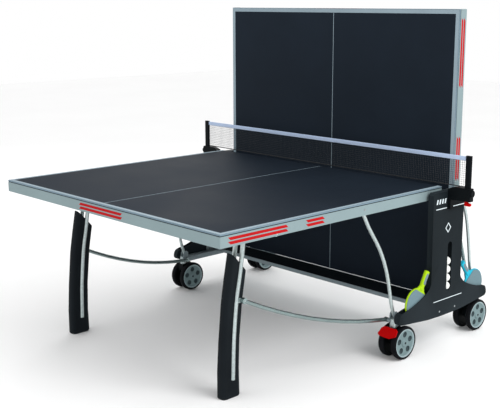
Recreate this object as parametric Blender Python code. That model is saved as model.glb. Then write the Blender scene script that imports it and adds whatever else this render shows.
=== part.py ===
"""Folding ping pong table on a wheeled chassis, with one half down for play and the other folded up.

Metres, +Z up. X runs along the net and Y across it. The net stands at y = NET_Y, the near half
lies toward -Y, and the far half is folded up on the +Y side.
A point of one half is first written in the half's own plane (out, up): out is the distance from
the net plane and up is the height above the floor. near = -1 and far = +1 turn it into world Y.
"""

import math

import bmesh
import bpy
from mathutils import Matrix, Vector

# Driving dimensions of the whole table
TABLE_HEIGHT = 0.760
HALF_WIDTH = 0.7625
NET_EDGE = 0.005
END_LINE = 1.370
NET_Y = 0.50125

# Fit between pieces
TOUCH_GAP = 0.0003
PIN_PLAY = 0.0005
ROUND_STEPS = 16

# Board and apron
BOARD_THICKNESS = 0.0068
BOARD_CORNER = 0.004
APRON_TOP = 0.7505
APRON_BOTTOM = 0.706
APRON_WALL = 0.004
APRON_LEDGE = 0.022
GROOVE_DEPTH = 0.003
LEDGE_THICKNESS = 0.0044

# Folding linkage of one half, as (out, up) points
FOLDED_FACE = 0.079
FOLDED_BOTTOM = 0.195
GUIDE = Vector((0.030, 0.730))
ARM_TOP = Vector((0.555, 0.730))
ARM_FOOT_UP = 0.205
LEG_HINGE = Vector((1.075, 0.715))
STAY_TOP = Vector((1.090, 0.407))
STAY_FOOT_UP = 0.178

# Bends of a lift arm between its foot and its top, as it stands in the photo on each half
LEVEL_ARM_BENDS = (
    Vector((0.335, 0.266)),
    Vector((0.355, 0.353)),
    Vector((0.382, 0.440)),
    Vector((0.428, 0.534)),
    Vector((0.506, 0.645)),
)
FOLDED_ARM_BENDS = (
    Vector((0.281, 0.306)),
    Vector((0.262, 0.427)),
    Vector((0.235, 0.560)),
    Vector((0.195, 0.660)),
    Vector((0.150, 0.720)),
)

# Linkage tubes
GUIDE_RADIUS = 0.006
ARM_X = 0.745
ARM_RADIUS = 0.008
ARM_PIN_RADIUS = 0.005
LEG_X = 0.550
LEG_TUBE_OFFSET = 0.022
LEG_TUBE_RADIUS = 0.0095
LEG_LUG_CENTRE = Vector((1.119, 0.411))
LEG_LUG_THICKNESS = 0.0030
LEG_PAD_WIDTH = 0.046
CROSSBAR_RADIUS = 0.0125
STAY_TOP_X = 0.587
STAY_FOOT_X = 0.712
STAY_RADIUS = 0.009
STAY_SAG = 0.040
STAY_PIN_RADIUS = 0.004

# Chassis
BEAM_HALF_DEPTH = 0.072
BEAM_BOTTOM = 0.178
BEAM_TOP = 0.197
BEAM_WALL = 0.003
RAIL_INNER = 0.731
RAIL_OUTER = 0.773
RAIL_BOTTOM = 0.160
RAIL_TOP = 0.188
RAIL_END = 0.322
EAR_THICKNESS = 0.0035
EAR_TOP = 0.222
POST_INNER = 0.768
POST_THICKNESS = 0.004
POST_TOP = 0.744
SLOT_MARGIN = 0.0165

# Side panels
PANEL_INNER = 0.7735
PANEL_OUTER = 0.803
PANEL_WALL = 0.0028
PANEL_EDGE_ROUND = 0.002
PANEL_BASE = 0.148
PANEL_TOP = 0.745
COLUMN_HALF = 0.114
COLUMN_TOP_HALF = 0.122
WING_OUT = 0.345
WING_TOP = 0.219
BALL_SLOT_Y = 0.020
BALL_SLOT_WIDTH = 0.034
BALL_SLOT_BOTTOM = 0.264
BALL_SLOT_TOP = 0.500

# Net set
NET_HEIGHT = 0.1525
NET_POST_X = 0.900
NET_POST_SIZE = (0.029, 0.015)
NET_THICKNESS = 0.0016
NET_TAPE_HEIGHT = 0.020
NET_TAPE_THICKNESS = 0.005
NET_CORD_RADIUS = 0.002
NET_CORD_UP = 0.7725
BRACKET_FRONT = 0.015
BRACKET_BOTTOM = 0.704
BRACKET_TOP = 0.768
BRACKET_OUTER = 0.922
BLOCK_BOTTOM = 0.661
BLOCK_TOP = 0.744
BLOCK_BACK = 0.112
BLOCK_THICKNESS = 0.016
TRIGGER_X = 0.903
KNOB_RADIUS = 0.016
KNOB_THICKNESS = 0.008
KNOB_UP = 0.745

# Casters
SWIVEL_X = 0.750
SWIVEL_OUT = 0.320
CASTER_TRAIL = 0.030
WHEEL_RADIUS = 0.0775
WHEEL_WIDTH = 0.028
WHEEL_OFFSET = 0.036
AXLE_RADIUS = 0.005
STEM_RADIUS = 0.006
SLEEVE_RADIUS = 0.016
SLEEVE_BOTTOM = 0.150
HOUSING_HALF_WIDTH = 0.019

# Bats and balls in the side panels
BALL_RADIUS = 0.020
BALL_X = 0.786
BALL_WINDOW_WIDTH = 0.0304
BAT_BLADE_RADIUS = 0.075
BAT_BLADE_THICKNESS = 0.0065
BAT_RUBBER_THICKNESS = 0.004
BAT_HANDLE_LENGTH = 0.088
BAT_HANDLE_SIZE = (0.028, 0.021)

NEAR = -1
FAR = 1
SIDES = (("left", -1), ("right", 1))
HALVES = (("near", NEAR), ("far", FAR))


# ---------------------------------------------------------------- materials


def material(name, colour, roughness, metallic=0.0):
    made = bpy.data.materials.new(name)
    made.use_nodes = True
    shader = made.node_tree.nodes["Principled BSDF"]
    shader.inputs["Base Color"].default_value = (*colour, 1.0)
    shader.inputs["Roughness"].default_value = roughness
    shader.inputs["Metallic"].default_value = metallic
    return made


def make_materials():
    return {
        "board": material("slate_laminate", (0.045, 0.060, 0.070), 0.55),
        "apron": material("painted_apron", (0.36, 0.40, 0.45), 0.45),
        "steel": material("galvanised_steel", (0.55, 0.57, 0.58), 0.38, 0.8),
        "frame": material("grey_frame_paint", (0.50, 0.52, 0.54), 0.5),
        "charcoal": material("charcoal_plastic", (0.035, 0.037, 0.042), 0.6),
        "black": material("black_plastic", (0.012, 0.012, 0.014), 0.45),
        "red": material("red_plastic", (0.55, 0.02, 0.02), 0.4),
        "white": material("white_tape", (0.80, 0.80, 0.78), 0.7),
        "mesh": material("net_mesh", (0.60, 0.62, 0.62), 0.8),
        "wheel": material("wheel_rubber_and_hub", (0.10, 0.10, 0.11), 0.6),
        "ball": material("white_ball", (0.85, 0.85, 0.82), 0.4),
        "lime": material("lime_bat", (0.45, 0.60, 0.05), 0.5),
        "cyan": material("cyan_bat", (0.05, 0.45, 0.60), 0.5),
    }


# ---------------------------------------------------------------- mesh helpers


def finish(name, mesh, paint, origin=(0.0, 0.0, 0.0), smooth=False):
    """Turns a bmesh in world coordinates into an object whose origin is at the given point."""
    bmesh.ops.triangulate(mesh, faces=[face for face in mesh.faces if len(face.verts) > 4])
    bmesh.ops.recalc_face_normals(mesh, faces=mesh.faces)
    bmesh.ops.translate(mesh, vec=-Vector(origin), verts=mesh.verts)
    data = bpy.data.meshes.new(name)
    mesh.to_mesh(data)
    mesh.free()
    if smooth:
        data.shade_smooth()
        data.set_sharp_from_angle(angle=math.radians(35))
    data.materials.append(paint)
    made = bpy.data.objects.new(name, data)
    made.location = origin
    bpy.context.scene.collection.objects.link(made)
    return made


def add_box(mesh, low, high):
    """Adds a box between two corners and returns its vertices."""
    size = Vector(high) - Vector(low)
    middle = (Vector(high) + Vector(low)) / 2
    place = Matrix.Translation(middle) @ Matrix.Diagonal((*size, 1.0))
    return bmesh.ops.create_cube(mesh, size=1.0, matrix=place)["verts"]


def add_rod(mesh, start, end, radius, steps=ROUND_STEPS):
    """Adds a closed cylinder between two points."""
    start, end = Vector(start), Vector(end)
    turn = (end - start).to_track_quat("Z", "Y").to_matrix().to_4x4()
    place = Matrix.Translation((start + end) / 2) @ turn
    bmesh.ops.create_cone(
        mesh,
        cap_ends=True,
        segments=steps,
        radius1=radius,
        radius2=radius,
        depth=(end - start).length,
        matrix=place,
    )


def add_prism(mesh, outline, place_low, place_high):
    """Adds a solid between two copies of one outline; each place turns an outline point into 3-D."""
    low = [mesh.verts.new(place_low(point)) for point in outline]
    high = [mesh.verts.new(place_high(point)) for point in outline]
    mesh.faces.new(low[::-1])
    mesh.faces.new(high)
    for index in range(len(outline)):
        after = (index + 1) % len(outline)
        mesh.faces.new((low[index], low[after], high[after], high[index]))


def add_side_prism(mesh, outline, x_low, x_high):
    """Adds a solid whose (y, z) outline runs along X."""
    add_prism(
        mesh,
        outline,
        lambda point: (x_low, point[0], point[1]),
        lambda point: (x_high, point[0], point[1]),
    )


def rounded_rectangle(width, height, radius, steps=4):
    """Outline of a rectangle about (0, 0) with rounded corners, counter-clockwise."""
    points = []
    for corner in range(4):
        middle = math.radians(45 + 90 * corner)
        centre_x = math.copysign(width / 2 - radius, math.cos(middle))
        centre_y = math.copysign(height / 2 - radius, math.sin(middle))
        for step in range(steps + 1):
            angle = math.radians(90 * corner + 90 * step / steps)
            points.append((centre_x + radius * math.cos(angle), centre_y + radius * math.sin(angle)))
    return points


def circle(radius, steps=ROUND_STEPS):
    return [
        (radius * math.cos(math.tau * step / steps), radius * math.sin(math.tau * step / steps))
        for step in range(steps)
    ]


def smooth_path(points, steps=4):
    """Catmull-Rom curve through the points, with a number of steps between each two."""
    ends = [2 * points[0] - points[1], *points, 2 * points[-1] - points[-2]]
    path = [points[0]]
    for index in range(1, len(ends) - 2):
        before, start, end, after = ends[index - 1 : index + 3]
        for step in range(1, steps + 1):
            t = step / steps
            path.append(
                0.5
                * (
                    2 * start
                    + (end - before) * t
                    + (2 * before - 5 * start + 4 * end - after) * t**2
                    + (3 * start - before - 3 * end + after) * t**3
                )
            )
    return path


def add_sweep(mesh, path, section):
    """Sweeps a section along a path; the section's first axis stays as near to X as it can."""
    rings = []
    for index, point in enumerate(path):
        ahead = path[min(index + 1, len(path) - 1)]
        behind = path[max(index - 1, 0)]
        along = (ahead - behind).normalized()
        across = (Vector((1, 0, 0)) - along * along.x).normalized()
        up = along.cross(across)
        rings.append([mesh.verts.new(point + across * a + up * b) for a, b in section])
    mesh.faces.new(rings[0][::-1])
    mesh.faces.new(rings[-1])
    for ring, following in zip(rings, rings[1:]):
        for index in range(len(section)):
            after = (index + 1) % len(section)
            mesh.faces.new((ring[index], ring[after], following[after], following[index]))


def add_turning(mesh, profile, centre, steps):
    """Adds a closed body turned about an X axis through centre; profile is a closed (x, radius) loop."""
    rings = []
    for step in range(steps):
        angle = math.tau * step / steps
        ring = []
        for along, radius in profile:
            offset = Vector((along, radius * math.cos(angle), radius * math.sin(angle)))
            ring.append(mesh.verts.new(Vector(centre) + offset))
        rings.append(ring)
    for step in range(steps):
        ring, following = rings[step], rings[(step + 1) % steps]
        for index in range(len(profile)):
            after = (index + 1) % len(profile)
            mesh.faces.new((ring[index], ring[after], following[after], following[index]))


def combine(target, operation, make_tools):
    """Joins a list of closed meshes to an object, or cuts them from it, and keeps the result."""
    for make_tool in make_tools:
        tool_mesh = bmesh.new()
        make_tool(tool_mesh)
        tool = finish("tool", tool_mesh, target.data.materials[0])
        change = target.modifiers.new("change", "BOOLEAN")
        change.operation = operation
        change.solver = "EXACT"
        change.object = tool
        bpy.context.view_layer.update()
        graph = bpy.context.evaluated_depsgraph_get()
        changed = bpy.data.meshes.new_from_object(target.evaluated_get(graph))
        target.modifiers.clear()
        old = target.data
        target.data = changed
        bpy.data.meshes.remove(old)
        bpy.data.objects.remove(tool)


def join(target, *make_tools):
    combine(target, "UNION", make_tools)


def cut(target, *make_tools):
    combine(target, "DIFFERENCE", make_tools)


def bevel_edges(mesh, width, chosen, segments=2):
    edges = [edge for edge in mesh.edges if chosen(edge)]
    bmesh.ops.bevel(
        mesh, geom=edges, offset=width, segments=segments, affect="EDGES", profile=0.5
    )


# ---------------------------------------------------------------- the half's own plane


def world(x, point, half):
    """World place of an (out, up) point of one half."""
    return Vector((x, NET_Y + half * point[0], point[1]))


def folded(point):
    """Where a point of the playing half goes when that half is folded up."""
    along = point[0] - NET_EDGE
    depth = TABLE_HEIGHT - point[1]
    return Vector((FOLDED_FACE + depth, FOLDED_BOTTOM + along))


def foot_on_bisector(start, end, up):
    """The point at a given height that is equally far from two places of a link's upper end."""
    middle = (start + end) / 2
    travel = end - start
    return Vector((middle.x - (up - middle.y) * travel.y / travel.x, up))


def turned(point, centre, angle):
    offset = point - centre
    return centre + Vector(
        (
            offset.x * math.cos(angle) - offset.y * math.sin(angle),
            offset.x * math.sin(angle) + offset.y * math.cos(angle),
        )
    )


def link_turn(start, end, foot):
    """How far a link swings about its foot, in radians, as its top goes from start to end."""
    before, after = start - foot, end - foot
    return math.atan2(after.y, after.x) - math.atan2(before.y, before.x)


LEG_SHIFT = folded(LEG_HINGE) - LEG_HINGE
ARM_FOOT = foot_on_bisector(ARM_TOP, folded(ARM_TOP), ARM_FOOT_UP)
STAY_FOOT = foot_on_bisector(STAY_TOP, STAY_TOP + LEG_SHIFT, STAY_FOOT_UP)
ARM_TURN = link_turn(ARM_TOP, folded(ARM_TOP), ARM_FOOT)
STAY_TURN = link_turn(STAY_TOP, STAY_TOP + LEG_SHIFT, STAY_FOOT)


class HalfPose:
    """Places the pieces of one half: the near half lies flat, and the far half is folded up."""

    def __init__(self, half):
        self.half = half
        self.is_folded = half == FAR

    def board(self, point):
        return folded(Vector(point)) if self.is_folded else Vector(point)

    def arm(self, point):
        return turned(Vector(point), ARM_FOOT, ARM_TURN) if self.is_folded else Vector(point)

    def leg(self, point):
        return Vector(point) + LEG_SHIFT if self.is_folded else Vector(point)

    def stay(self, point):
        return turned(Vector(point), STAY_FOOT, STAY_TURN) if self.is_folded else Vector(point)

    def place(self, x, point):
        return world(x, point, self.half)


# ---------------------------------------------------------------- the two halves


def ring_corners(out_low, out_high, half_width, inset, radius, steps=3):
    """Outline of a half at some inset, as (x, out) points with rounded corners."""
    width = 2 * (half_width - inset)
    length = out_high - out_low - 2 * inset
    middle = (out_low + out_high) / 2
    round_off = max(radius - inset, 0.002)
    return [(x, middle + out) for x, out in rounded_rectangle(width, length, round_off, steps)]


def make_board(name, pose, paint):
    """Playing board: a thin slab with rounded corners that lies on the apron's ledge."""
    mesh = bmesh.new()
    outline = ring_corners(NET_EDGE, END_LINE, HALF_WIDTH, 0.0, BOARD_CORNER)
    low = TABLE_HEIGHT - BOARD_THICKNESS

    def at(up):
        return lambda point: pose.place(point[0], pose.board((point[1], up)))

    add_prism(mesh, outline, at(low), at(TABLE_HEIGHT))
    return finish(name, mesh, paint, pose.place(0, pose.board(GUIDE)))


def make_apron(name, pose, paint):
    """Apron ring: side wall, groove under the board and a ledge that carries the board."""
    ledge_top = TABLE_HEIGHT - BOARD_THICKNESS - TOUCH_GAP
    section = (
        (0.0, APRON_BOTTOM),
        (0.0, APRON_TOP),
        (GROOVE_DEPTH, APRON_TOP),
        (GROOVE_DEPTH, ledge_top),
        (APRON_LEDGE, ledge_top),
        (APRON_LEDGE, ledge_top - LEDGE_THICKNESS),
        (APRON_WALL, ledge_top - LEDGE_THICKNESS),
        (APRON_WALL, APRON_BOTTOM),
    )
    mesh = bmesh.new()
    rings = []
    for inset, up in section:
        outline = ring_corners(NET_EDGE, END_LINE, HALF_WIDTH, inset, BOARD_CORNER)
        rings.append([mesh.verts.new(pose.place(x, pose.board((out, up)))) for x, out in outline])
    for index, ring in enumerate(rings):
        following = rings[(index + 1) % len(rings)]
        for corner in range(len(ring)):
            after = (corner + 1) % len(ring)
            mesh.faces.new((ring[corner], ring[after], following[after], following[corner]))
    apron = finish(name, mesh, paint, pose.place(0, pose.board(GUIDE)))
    for point, radius in (
        (GUIDE, GUIDE_RADIUS),
        (ARM_TOP, ARM_PIN_RADIUS),
        (LEG_HINGE, ARM_PIN_RADIUS),
    ):
        for _, side in SIDES:
            inner = pose.place(side * (HALF_WIDTH - 2 * APRON_WALL), pose.board(point))
            outer = pose.place(side * (HALF_WIDTH + APRON_WALL), pose.board(point))
            cut(apron, lambda tool: add_rod(tool, inner, outer, radius + PIN_PLAY))
    return apron


def make_guide_shaft(name, pose, paint):
    """Shaft through both apron sides; its ends ride in the slots of the side posts."""
    reach = POST_INNER + POST_THICKNESS + 0.001
    mesh = bmesh.new()
    centre = pose.board(GUIDE)
    add_rod(mesh, pose.place(-reach, centre), pose.place(reach, centre), GUIDE_RADIUS)
    return finish(name, mesh, paint, pose.place(0, centre), smooth=True)


def arm_path(pose):
    """Centre line of a lift arm from its foot to its top, in the pose that it is drawn in."""
    bends = FOLDED_ARM_BENDS if pose.is_folded else LEVEL_ARM_BENDS
    return smooth_path([ARM_FOOT, *bends, pose.arm(ARM_TOP)], 3)


def make_arm(name, side, pose, paint):
    """Bent lift arm with a pin at its top that turns in the apron's side wall."""
    path = [pose.place(side * ARM_X, point) for point in arm_path(pose)]
    mesh = bmesh.new()
    add_sweep(mesh, path, circle(ARM_RADIUS, 12))
    arm = finish(name, mesh, paint, path[-1], smooth=True)
    top = pose.arm(ARM_TOP)
    pin_end = side * (HALF_WIDTH - 0.0005)
    eye_half = ARM_RADIUS - 0.0015
    join(
        arm,
        lambda tool: add_rod(
            tool,
            pose.place(side * (ARM_X - eye_half), top),
            pose.place(side * (ARM_X + eye_half), top),
            ARM_RADIUS + 0.004,
        ),
        lambda tool: add_rod(
            tool, pose.place(side * ARM_X, top), pose.place(pin_end, top), ARM_PIN_RADIUS
        ),
    )
    return arm


def leg_tube_path():
    """Centre line of a leg tube from its hinge down into the foot, as (out, up) points."""
    through = [
        LEG_HINGE,
        Vector((1.083, 0.615)),
        Vector((1.102, 0.500)),
        Vector((1.118, 0.415)),
        Vector((1.134, 0.249)),
        Vector((1.140, 0.078)),
    ]
    return smooth_path(through, 3)


def make_leg_frame(name, pose, paint):
    """Crossbar hinged in the apron sides, with a pair of tubes down each leg and a lug for the stay."""
    mesh = bmesh.new()
    hinge = pose.leg(LEG_HINGE)
    bar_end = HALF_WIDTH - APRON_WALL - 0.001
    add_rod(mesh, pose.place(-bar_end, hinge), pose.place(bar_end, hinge), CROSSBAR_RADIUS)
    frame = finish(name, mesh, paint, pose.place(0, hinge), smooth=True)
    pin_end = HALF_WIDTH - 0.0005
    join(
        frame,
        lambda tool: add_rod(
            tool, pose.place(-pin_end, hinge), pose.place(pin_end, hinge), ARM_PIN_RADIUS
        ),
    )
    bolt = pose.leg(STAY_TOP)
    lug = [
        pose.place(0, pose.leg(point)).yz
        for point in slot_outline(STAY_TOP, LEG_LUG_CENTRE, 0.010, 5)
    ]
    for _, side in SIDES:
        for offset in (-LEG_TUBE_OFFSET, LEG_TUBE_OFFSET):
            path = [
                pose.place(side * LEG_X + offset, pose.leg(point)) for point in leg_tube_path()
            ]
            join(frame, lambda tool: add_sweep(tool, path, circle(LEG_TUBE_RADIUS, 10)))
        lug_x = side * (STAY_TOP_X - STAY_RADIUS - 0.0005)
        bolt_start = pose.place(lug_x - side * 0.001, bolt)
        bolt_end = pose.place(side * (STAY_TOP_X + STAY_RADIUS - 0.001), bolt)
        join(
            frame,
            lambda tool: add_side_prism(tool, lug, lug_x - side * LEG_LUG_THICKNESS, lug_x),
            lambda tool: add_rod(tool, bolt_start, bolt_end, STAY_PIN_RADIUS, 10),
        )
    return frame


def make_leg_pad(name, side, pose, paint):
    """Plastic leg pad that stands on the floor, with a groove for a leg tube in each side face."""
    levels = (
        (0.000, 1.098, 1.191),
        (0.006, 1.094, 1.195),
        (0.114, 1.097, 1.195),
        (0.242, 1.093, 1.187),
        (0.409, 1.076, 1.171),
        (0.500, 1.060, 1.156),
    )
    mesh = bmesh.new()
    rings = []
    for up, inner, outer in levels:
        corners = rounded_rectangle(LEG_PAD_WIDTH, outer - inner, 0.017, 3)
        middle = (inner + outer) / 2
        rings.append([(side * LEG_X + x, middle + out, up) for x, out in corners])
    top = []
    for x, out in rounded_rectangle(LEG_PAD_WIDTH, 0.080, 0.017, 3):
        top.append((side * LEG_X + x, 1.096 + out, 0.563 + 1.1 * out))
    rings.append(top)
    placed = []
    for ring in rings:
        placed.append([mesh.verts.new(pose.place(x, pose.leg((out, up)))) for x, out, up in ring])
    mesh.faces.new(placed[0][::-1])
    mesh.faces.new(placed[-1])
    for ring, following in zip(placed, placed[1:]):
        for index in range(len(ring)):
            after = (index + 1) % len(ring)
            mesh.faces.new((ring[index], ring[after], following[after], following[index]))
    pad = finish(name, mesh, paint, pose.place(side * LEG_X, pose.leg(LEG_HINGE)), smooth=True)
    channel = leg_tube_path()
    channel[-1] = channel[-1] - Vector((0.0, TOUCH_GAP))
    for offset in (-LEG_TUBE_OFFSET, LEG_TUBE_OFFSET):
        path = [pose.place(side * LEG_X + offset, pose.leg(point)) for point in channel]
        cut(pad, lambda tool: add_sweep(tool, path, circle(LEG_TUBE_RADIUS + TOUCH_GAP, 10)))
    return pad


def stay_path():
    """Centre line of a stay from its foot to its top, as (x, out, up) points for the right side."""
    points = []
    steps = 9
    for step in range(steps + 1):
        share = step / steps
        x = STAY_FOOT_X + (STAY_TOP_X - STAY_FOOT_X) * share
        line = STAY_FOOT.lerp(STAY_TOP, share)
        sag = STAY_SAG * 4 * share * (1 - share)
        points.append((x, line.x, line.y - sag))
    return points


def make_stay(name, side, pose, paint):
    """Bowed stay between a leg and the chassis, turning on the leg's bolt."""
    path = [pose.place(side * x, pose.stay((out, up))) for x, out, up in stay_path()]
    mesh = bmesh.new()
    add_sweep(mesh, path, circle(STAY_RADIUS, 10))
    stay = finish(name, mesh, paint, path[-1], smooth=True)
    top, foot = pose.stay(STAY_TOP), pose.stay(STAY_FOOT)
    eye_half = STAY_RADIUS - 0.001

    def eye(x, centre, radius):
        start = pose.place(side * (x - eye_half), centre)
        end = pose.place(side * (x + eye_half), centre)
        return lambda tool: add_rod(tool, start, end, radius)

    join(stay, eye(STAY_TOP_X, top, STAY_RADIUS + 0.004), eye(STAY_FOOT_X, foot, STAY_RADIUS + 0.002))
    bore_start = pose.place(side * (STAY_TOP_X - 0.03), top)
    bore_end = pose.place(side * (STAY_TOP_X + 0.03), top)
    bore_radius = STAY_PIN_RADIUS + PIN_PLAY
    cut(stay, lambda tool: add_rod(tool, bore_start, bore_end, bore_radius, 14))
    return stay


def make_half(half_name, half, paints):
    pose = HalfPose(half)
    make_board(f"{half_name}_board", pose, paints["board"])
    make_apron(f"{half_name}_apron", pose, paints["apron"])
    make_guide_shaft(f"{half_name}_guide_shaft", pose, paints["steel"])
    make_leg_frame(f"{half_name}_leg_frame", pose, paints["steel"])
    for side_name, side in SIDES:
        make_arm(f"{half_name}_arm_{side_name}", side, pose, paints["steel"])
        make_leg_pad(f"{half_name}_leg_pad_{side_name}", side, pose, paints["charcoal"])
        make_stay(f"{half_name}_stay_{side_name}", side, pose, paints["charcoal"])


# ---------------------------------------------------------------- the chassis


def make_cross_beam(paint):
    """Shallow channel between the two side rails, open at the top."""
    end = RAIL_INNER - TOUCH_GAP
    outer, inner = BEAM_HALF_DEPTH, BEAM_HALF_DEPTH - BEAM_WALL
    floor_top = BEAM_BOTTOM + BEAM_WALL
    floor = (
        (NET_Y - outer, BEAM_BOTTOM),
        (NET_Y + outer, BEAM_BOTTOM),
        (NET_Y + inner, floor_top),
        (NET_Y - inner, floor_top),
    )
    mesh = bmesh.new()
    add_side_prism(mesh, floor, -end, end)
    for half in (NEAR, FAR):
        wall = (
            (NET_Y + half * outer, BEAM_BOTTOM),
            (NET_Y + half * inner, floor_top),
            (NET_Y + half * inner, BEAM_TOP),
            (NET_Y + half * outer, BEAM_TOP),
        )
        add_side_prism(mesh, wall, -end, end)
    bmesh.ops.remove_doubles(mesh, verts=mesh.verts, dist=0.00001)
    shared = [face for face in mesh.faces if is_inside_face(face, outer, inner)]
    bmesh.ops.delete(mesh, geom=shared, context="FACES_ONLY")
    return finish("cross_beam", mesh, paint)


def is_inside_face(face, outer, inner):
    """True for the slanted faces where the beam's walls meet its floor."""
    middle = face.calc_center_median()
    return abs(abs(middle.y - NET_Y) - (outer + inner) / 2) < 1e-5 and abs(middle.x) < 1e-5 and (
        0.1 < abs(face.normal.y) < 0.99
    )


def make_beam_cover(paint):
    """Plastic cover that closes the top of the cross beam, with a seam near each end."""
    end = RAIL_INNER - 2 * TOUCH_GAP
    inner = BEAM_HALF_DEPTH - BEAM_WALL - TOUCH_GAP
    low = BEAM_BOTTOM + BEAM_WALL + TOUCH_GAP
    high = BEAM_TOP - 0.0015
    seam_x, seam_width, seam_depth = 0.42, 0.003, 0.0015
    mesh = bmesh.new()
    add_box(mesh, (-end, NET_Y - inner, low), (end, NET_Y + inner, high))
    cover = finish("cross_beam_cover", mesh, paint)
    for _, side in SIDES:
        seam_low = (side * seam_x - seam_width / 2, NET_Y - 2 * inner, high - seam_depth)
        seam_high = (side * seam_x + seam_width / 2, NET_Y + 2 * inner, high + seam_depth)
        cut(cover, lambda tool: add_box(tool, seam_low, seam_high))
    return cover


def make_side_rail(side_name, side, paint):
    """Side rail with a caster sleeve, a fork for the lift arm and a boss for the stay at each end."""
    mesh = bmesh.new()
    low = (side * RAIL_INNER, NET_Y - RAIL_END, RAIL_BOTTOM)
    high = (side * RAIL_OUTER, NET_Y + RAIL_END, RAIL_TOP)
    add_box(mesh, low, high)
    bevel_edges(mesh, 0.003, lambda edge: abs((edge.verts[0].co - edge.verts[1].co).y) > 0.1)
    rail = finish(f"side_rail_{side_name}", mesh, paint)
    fork_inner = ARM_X - ARM_RADIUS - 0.0005
    fork_outer = ARM_X + ARM_RADIUS + 0.0005
    for _, half in HALVES:
        middle = ARM_FOOT.x
        ear = [
            (NET_Y + half * (middle - 0.020), RAIL_TOP - 0.004),
            (NET_Y + half * (middle + 0.018), RAIL_TOP - 0.004),
            (NET_Y + half * (middle + 0.014), EAR_TOP - 0.010),
            (NET_Y + half * (middle + 0.004), EAR_TOP),
            (NET_Y + half * (middle - 0.008), EAR_TOP),
            (NET_Y + half * (middle - 0.018), EAR_TOP - 0.010),
        ]
        foot_x = STAY_FOOT_X + STAY_RADIUS + 0.0005
        boss_start = world(side * foot_x, STAY_FOOT, half)
        boss_end = world(side * (SWIVEL_X - 0.010), STAY_FOOT, half)
        sleeve_bottom = world(side * SWIVEL_X, (SWIVEL_OUT, SLEEVE_BOTTOM), half)
        sleeve_top = world(side * SWIVEL_X, (SWIVEL_OUT, RAIL_TOP + 0.003), half)
        bore_bottom = world(side * SWIVEL_X, (SWIVEL_OUT, SLEEVE_BOTTOM - 0.01), half)
        bore_top = world(side * SWIVEL_X, (SWIVEL_OUT, SLEEVE_BOTTOM + 0.030), half)
        join(
            rail,
            lambda tool: add_side_prism(
                tool, ear, side * (fork_inner - EAR_THICKNESS), side * fork_inner
            ),
            lambda tool: add_side_prism(
                tool, ear, side * fork_outer, side * (fork_outer + EAR_THICKNESS)
            ),
            lambda tool: add_rod(tool, boss_start, boss_end, 0.0095),
            lambda tool: add_rod(tool, sleeve_bottom, sleeve_top, SLEEVE_RADIUS, 24),
        )
        bore_radius = STEM_RADIUS + PIN_PLAY
        cut(rail, lambda tool: add_rod(tool, bore_bottom, bore_top, bore_radius))
    return rail


def make_side_post(side_name, side, paint):
    """Steel plate on the rail with the two slanted slots that guide the halves."""
    x_low = side * POST_INNER
    x_high = side * (POST_INNER + POST_THICKNESS)
    cut_low, cut_high = x_low - side * POST_THICKNESS, x_high + side * POST_THICKNESS
    guide_low = folded(GUIDE)
    bottom = RAIL_TOP + TOUCH_GAP
    spread = (guide_low.x - GUIDE.x) / (GUIDE.y - guide_low.y)
    bottom_half = guide_low.x + SLOT_MARGIN + (guide_low.y - bottom) * spread
    top_half = GUIDE.x + SLOT_MARGIN
    outline = [
        (NET_Y - bottom_half, bottom),
        (NET_Y + bottom_half, bottom),
        (NET_Y + top_half, POST_TOP),
        (NET_Y - top_half, POST_TOP),
    ]
    mesh = bmesh.new()
    add_side_prism(mesh, outline, x_low, x_high)
    post = finish(f"side_post_{side_name}", mesh, paint)
    slot_radius = GUIDE_RADIUS + PIN_PLAY
    for _, half in HALVES:
        slot = slot_outline(GUIDE, guide_low, slot_radius)
        placed = [(NET_Y + half * out, up) for out, up in slot]
        cut(post, lambda tool: add_side_prism(tool, placed, cut_low, cut_high))
    window = ball_slot(BALL_WINDOW_WIDTH)
    cut(post, lambda tool: add_side_prism(tool, window, cut_low, cut_high))
    return post


def ball_slot(width):
    """Upright slot in front of or behind the balls, as a (y, z) outline."""
    y = NET_Y + BALL_SLOT_Y
    top = Vector((y, BALL_SLOT_TOP - width / 2))
    bottom = Vector((y, BALL_SLOT_BOTTOM + width / 2))
    return slot_outline(top, bottom, width / 2)


def slot_outline(start, end, radius, steps=8):
    """Outline of a slot with round ends between two points."""
    direction = (end - start).normalized()
    heading = math.atan2(direction.y, direction.x)
    points = []
    for centre, first in ((end, heading - math.pi / 2), (start, heading + math.pi / 2)):
        for step in range(steps + 1):
            angle = first + math.pi * step / steps
            points.append((centre.x + radius * math.cos(angle), centre.y + radius * math.sin(angle)))
    return points


def panel_outline(inset=0.0):
    """T-shaped outline of a side panel: a column with a hollow-topped wing on each side."""
    curve = smooth_path(
        [
            Vector((COLUMN_HALF, 0.320)),
            Vector((0.130, 0.295)),
            Vector((0.165, 0.272)),
            Vector((0.210, 0.253)),
            Vector((0.260, 0.237)),
            Vector((0.310, 0.228)),
            Vector((WING_OUT - 0.010, WING_TOP)),
            Vector((WING_OUT, 0.196)),
            Vector((WING_OUT - 0.006, 0.174)),
            Vector((0.300, 0.168)),
            Vector((0.130, 0.151)),
        ],
        2,
    )
    corner = 0.012
    right = [
        Vector((COLUMN_TOP_HALF - corner, PANEL_TOP)),
        Vector((COLUMN_TOP_HALF, PANEL_TOP - corner)),
    ]
    right += curve
    right.append(Vector((0.040, PANEL_BASE)))
    outline = right + [Vector((-point.x, point.y)) for point in reversed(right)]
    return [(NET_Y + point.x, point.y) for point in outline]


def wing_pocket(half):
    """Outline of the bat pocket in one wing, open upward."""
    points = [
        (0.122, 0.158),
        (0.290, 0.1725),
        (0.318, 0.182),
        (0.326, 0.196),
        (0.321, 0.260),
        (0.300, 0.400),
        (0.122, 0.400),
    ]
    return [(NET_Y + half * out, up) for out, up in points]


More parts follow.
